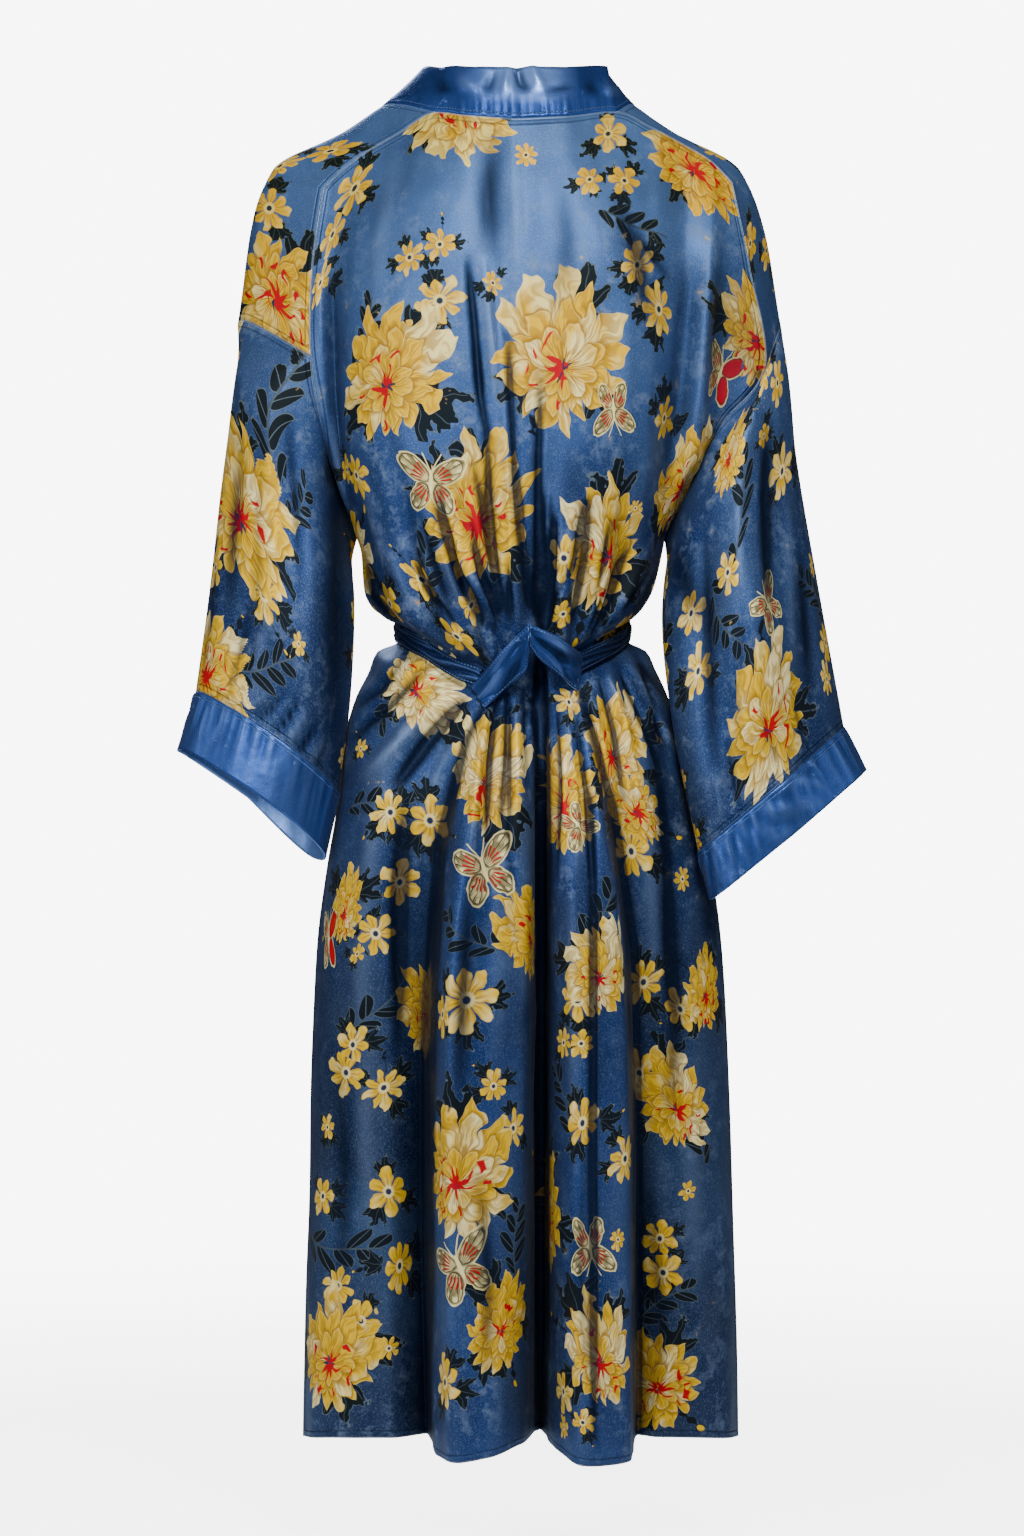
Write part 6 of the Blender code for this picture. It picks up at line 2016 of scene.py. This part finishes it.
def printed_satin():
    """Blue satin, worn and mottled, with every layer of the print on it."""
    material, tree = new_material("printed_satin")
    spot = tree.nodes.new("ShaderNodeTexCoord").outputs["Object"]
    x, y, z = split(tree, spot)
    _, away, fold = split(tree, attribute(tree, "cloth"))
    # Lighter at the shoulders and darker down the skirt: partly the cloth's own tone, partly painted
    # light from above
    high = z.over(*SHOULDER_TONE)
    low = z.under(*SKIRT_TONE)
    paint = Paint(tree, high, MIDDLE_BLUE, SHOULDER_BLUE)
    paint.lay(low, SKIRT_BLUE)
    # Painted highlight: the bundle of folds that stands out behind is made lighter, as if it faced the
    # light
    proud = y.over(*BUNDLE_BEHIND) * z.under(*BUNDLE_BELOW)
    paint.lay(proud * 0.75, BUNDLE_HIGHLIGHT_BLUE)
    cloudy = noise(tree, spot, *CLOUDS)
    streaky = noise(tree, joined(tree, x * 2.2, y * 2.2, z * 0.8), *STREAKS)
    paint.lay(cloudy.over(0.60, 0.30) * 0.30, SHOULDER_BLUE)
    paint.lay(cloudy.under(0.42, 0.24) * 0.50, SKIRT_BLUE)
    paint.lay(streaky.under(0.44, 0.20) * 0.20, DUSTY_BLUE)
    worn = noise(tree, spot, *WORN_SPOTS)
    sleeve = clamped(x.size().over(*SLEEVES_BEYOND) * 0.5)
    patches = clamped(noise(tree, spot, *WORN_PATCHES).over(0.50, 0.2) + sleeve)
    wear = worn.over(0.58, 0.16) * streaky.over(0.47, 0.2) * (patches * 0.8 + 0.2)
    fine = weave(tree, spot)
    paint.lay(wear * WEAR, WORN_BLUE)
    # Painted shade: the sleeves and sides are made darker, where less light reaches them
    side_shade = x.size().over(*SIDES_BEYOND) * z.over(*SIDES_ABOVE)
    paint.lay(side_shade, SIDE_SHADE_TONE, "MULTIPLY")
    bare = None
    for kind, layers in PRINT_ORDER:
        node = tree.nodes.new("ShaderNodeGroup")
        node.node_tree = bpy.data.node_groups[f"{kind}_print"]
        tree.links.new(nearest_place(tree, layers), node.inputs[0])
        cover = Wire(tree, node.outputs["Cover"])
        paint.lay(cover * INK_COVER, node.outputs["Colour"])
        bare = 1.0 - cover if bare is None else bare * (1.0 - cover)
    paint.lay((1.0 - bare) * high, AGED_INK, "MULTIPLY")
    fleck = worn.over(0.70, 0.04) * patches
    paint.lay(fleck * FLECKS, WORN_GOLD)
    grain = clamped((fine - 0.49) * bare) * GRAIN
    paint.lay(grain, WORN_BLUE)
    # Painted shade in troughs and hollows, and painted highlight on ridges
    paint.lay(clamped(fold * -TROUGH_SHADE) * DEEP_FOLD_SHADE, DEEP_BLUE)
    paint.lay(clamped(fold * RIDGE_LIGHT) * bare * 0.4, WORN_BLUE)
    # Pale seam line: partly piping, partly painted highlight on the seam's ridge, brighter over the
    # shoulders and round the hem
    seam = away.under(*PIPING)
    piping_highlight = z.over(*PIPING_TOP) * 0.22 + z.under(*PIPING_HEM) * 0.25 + 0.12
    paint.lay(seam * piping_highlight, PIPING_HIGHLIGHT_BLUE)
    stitch = (away - STITCH_AWAY).size().under(*STITCH_LINE) * 0.45
    paint.lay(stitch, DEEP_BLUE)
    rough = PRINTED_ROUGH + wear * 0.14 + (streaky - 0.5) * 0.16 - bare * 0.06
    crumple = noise(tree, joined(tree, x * 1.6, y * 1.6, z * 0.7), *CRUMPLES)
    bump = fine * 0.26 + crumple * 1.3 + seam * 1.2 - stitch * 1.4
    metal = bare * (SATIN_METAL - INK_METAL) + INK_METAL
    satin_shader(tree, paint.colour, metal, rough, bump, CLOTH_BUMPS, CLOTH_SHEEN)
    return material


# The trims' materials: how far each is dark and deep, and its stitch line's distance from the seam
TRIMS = {
    "plain_satin": (0.0, 0.0, 0.0045),
    "tie_satin": (0.20, 0.05, 0.0020),
    "belt_satin": (1.0, 0.50, 0.0020),
}


def plain_satin(name):
    """Plain satin of the collar band and cuffs, or of the belt or its tie."""
    dark, deep, stitched = TRIMS[name]
    material, tree = new_material(name)
    spot = tree.nodes.new("ShaderNodeTexCoord").outputs["Object"]
    x, _, z = split(tree, spot)
    down, away, fold = split(tree, attribute(tree, "cloth"))
    cloudy = noise(tree, spot, *TRIM_CLOUDS)
    paint = Paint(tree, clamped(cloudy.under(0.47, 0.3) * 0.5 + dark), TRIM_BLUE, TRIM_DARK)
    paint.lay(deep, DEEP_BLUE)
    # Behind the neck the band is darker towards its ends with painted shade and paler in its middle with
    # a painted highlight, as light falls on its curve
    neck = z.over(*NECK_ABOVE)
    paint.lay(neck * x.size().over(*NECK_SHADE_ENDS) * 0.75, TRIM_DARK)
    middle = (x - NECK_MIDDLE_X).size().under(*NECK_HIGHLIGHT)
    paint.lay(neck * middle * 0.75, TRIM_PALE)
    fine = weave(tree, spot)
    paint.lay((fine - 0.5).math("MULTIPLY", 0.3, clamp=True), TRIM_PALE)
    # Painted shade in the creases' troughs and painted highlight on their ridges
    paint.lay(clamped(fold * -TROUGH_SHADE) * 0.7, DEEP_BLUE)
    paint.lay(clamped(fold * RIDGE_LIGHT) * 0.6, TRIM_PALE)
    worn = noise(tree, spot, *TRIM_WORN).over(0.68, 0.08)
    paint.lay(worn * 0.4, TRIM_PALE)
    stitch_line = (away - stitched).size().under(*TRIM_STITCH_LINE)
    dashes = (down * TRIM_STITCHES).part().under(0.62, 0.1)
    paint.lay(stitch_line * dashes * 0.4, TRIM_PALE)
    rough = TRIM_ROUGH + (cloudy - 0.5) * 0.14 + worn * 0.12
    crumple = noise(tree, spot, *TRIM_CRUMPLES)
    bump = fine * 0.12 + crumple * 1.2 - stitch_line * 0.9
    satin_shader(tree, paint.colour, TRIM_METAL, rough, bump, TRIM_BUMPS, TRIM_SHEEN)
    return material


def inside_satin():
    """The cloth's duller inner side."""
    material, tree = new_material("satin_inside")
    spot = tree.nodes.new("ShaderNodeTexCoord").outputs["Object"]
    cloudy = noise(tree, spot, *INSIDE_CLOUDS)
    fine = weave(tree, spot)
    paint = Paint(tree, cloudy.over(0.5, 0.4) * 0.5, INSIDE_BLUE, INSIDE_CLOUDY)
    paint.lay((fine - 0.5).math("MULTIPLY", 0.5, clamp=True), INSIDE_PALE)
    rough = INSIDE_ROUGH + (cloudy - 0.5) * 0.1
    bump = fine * 0.3 + cloudy * 0.6
    satin_shader(tree, paint.colour, INK_METAL, rough, bump, CLOTH_BUMPS, CLOTH_SHEEN)
    return material


# The robe hangs 9 cm clear of the floor, which fades out between two distances from the middle. It
# glows a little, and more for the camera, so that it shows as pale as in the photograph.
WHITE = (1.0, 1.0, 1.0, 1.0)
FLOOR_WHITE = (0.92, 0.92, 0.92, 1.0)
FLOOR_Z = -1.262
FLOOR_RADIUS = 2.4
FLOOR_FADE = (0.9, 2.3)
FLOOR_GLOW = 0.05
FLOOR_SEEN = 4.5
FLOOR_RING = 64


def stage_floor():
    """A plain pale round floor that fades out at its rim."""
    material, tree = new_material("stage")
    shader = tree.nodes["Principled BSDF"]
    fixed(shader, {
        "Base Color": FLOOR_WHITE, "Roughness": 1.0, "Specular IOR Level": 0.0, "Emission Color": WHITE,
    })
    seen = Wire(tree, tree.nodes.new("ShaderNodeLightPath").outputs["Is Camera Ray"])
    feed(tree, FLOOR_GLOW + seen * (FLOOR_SEEN - FLOOR_GLOW), shader.inputs["Emission Strength"])
    x, y, _ = split(tree, tree.nodes.new("ShaderNodeTexCoord").outputs["Object"])
    out = (x * x + y * y) ** 0.5
    fade = (out - FLOOR_FADE[0]) / (FLOOR_FADE[1] - FLOOR_FADE[0])
    feed(tree, 1.0 - clamped(fade), shader.inputs["Alpha"])
    turns = [2 * math.pi * k / FLOOR_RING for k in range(FLOOR_RING)]
    points = [(FLOOR_RADIUS * math.cos(t), FLOOR_RADIUS * math.sin(t), FLOOR_Z) for t in turns]
    mesh = bpy.data.meshes.new("stage_floor")
    mesh.from_pydata(points, [], [tuple(range(FLOOR_RING))])
    mesh.materials.append(material)
    floor = bpy.data.objects.new("stage_floor", mesh)
    bpy.context.scene.collection.objects.link(floor)


# Soft lights: name, place, where each points, width and height in metres, power in watts, and colour
LIGHTS = [
    ("key", (-0.46, 1.9, 0.95), (-0.04, 0.1, -0.25), (0.7, 0.6), 38, (1.0, 0.99, 0.97)),
    ("near", (-0.14, 1.15, 0.62), (-0.05, 0.1, -0.12), (0.5, 0.4), 9, (1.0, 0.99, 0.97)),
    ("top", (-0.02, 1.15, 1.45), (0.0, 0.08, 0.02), (0.25, 0.25), 9, (1.0, 0.99, 0.97)),
    ("left", (2.3, 0.8, 0.2), (0, 0, -0.4), (0.35, 1.4), 10, (0.96, 0.98, 1.0)),
    ("low", (0.70, 1.3, -0.15), (0.07, 0.12, -0.56), (0.4, 0.4), 12, (0.96, 0.98, 1.0)),
    ("right", (-2.3, 0.5, 0.1), (0, 0, -0.5), (0.35, 1.6), 7, (0.96, 0.98, 1.0)),
    ("front", (0.7, -2.4, 1.2), (0, 0, -0.4), (1.2, 1.2), 64, (1.0, 1.0, 1.0)),
]
# The backdrop's brightness: the light that it gives, and what the camera sees
WORLD_LIGHT = 0.035
WORLD_SEEN = 8.0


def lights():
    """Soft lights that don't show themselves, and a plain backdrop."""
    for name, place, aim, (width, height), power, colour in LIGHTS:
        data = bpy.data.lights.new(name, "AREA")
        data.shape = "RECTANGLE"
        data.size = width
        data.size_y = height
        data.energy = power
        data.color = colour
        lamp = bpy.data.objects.new(name, data)
        lamp.location = place
        lamp.rotation_euler = direction(np.array(aim) - np.array(place))
        lamp.visible_camera = False
        bpy.context.scene.collection.objects.link(lamp)
    world = bpy.data.worlds.new("studio")
    world.use_nodes = True
    tree = world.node_tree
    background = tree.nodes["Background"]
    fixed(background, {"Color": WHITE})
    seen = Wire(tree, tree.nodes.new("ShaderNodeLightPath").outputs["Is Camera Ray"])
    feed(tree, WORLD_LIGHT + seen * (WORLD_SEEN - WORLD_LIGHT), background.inputs["Strength"])
    bpy.context.scene.world = world


def direction(towards):
    """The rotation that points a lamp or camera, which looks down its own -Z, along a direction."""
    x, y, z = unit(np.asarray(towards, float))
    return (math.acos(-z), 0.0, math.atan2(y, x) - math.pi / 2)


def camera():
    """A camera behind the wearer that sees what the photograph shows."""
    data = bpy.data.cameras.new("camera")
    data.sensor_fit = "AUTO"
    data.sensor_width = SENSOR_MM
    data.lens = SENSOR_MM * CAMERA_DISTANCE / (PHOTO_HEIGHT * METRES_PER_PIXEL)
    data.clip_end = CAMERA_REACH
    eye = bpy.data.objects.new("camera", data)
    shift_x = (PHOTO_WIDTH / 2 - AXIS_PX) * METRES_PER_PIXEL
    eye.location = (-shift_x, CAMERA_DISTANCE, CAMERA_Z)
    eye.rotation_euler = (math.radians(90), 0.0, math.radians(180))
    bpy.context.scene.collection.objects.link(eye)
    bpy.context.scene.camera = eye


def main():
    """Builds the stage, the materials and every piece of cloth round the frame's nodes."""
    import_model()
    camera()
    stage_floor()
    lights()
    peony()
    small_flower()
    butterfly()
    leaves()
    spray()
    printed = printed_satin()
    inside = inside_satin()
    plain, tie, belt = [plain_satin(name) for name in TRIMS]
    trims = {"belt": belt, "tie_left": tie, "tie_right": tie}
    grids = cloth_grids()
    normals = seam_normals(grids)
    motifs = placed_by_photo(grids, normals)
    motifs += strewn(grids, normals, motifs)
    layers = layered(motifs, grids)
    for name, (grid, ring) in grids.items():
        body = name in PRINTED
        thick = CLOTH_THICK if body else BAND_THICK
        shaped, fold = creased(name, pulled_in(grid, SEWN.get(name, ())), normals[name], ring)
        fields = {"cloth": cloth_field(name, grid, ring, fold)}
        if body:
            fields.update(print_fields(name, grid, ring, layers))
        materials = [printed, inside] if body else [trims.get(name, plain)]
        piece = shell(f"{name}_cloth", shaped, normals[name], thick, ring, materials, fields)
        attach(piece, "root")
        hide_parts(name)


main()
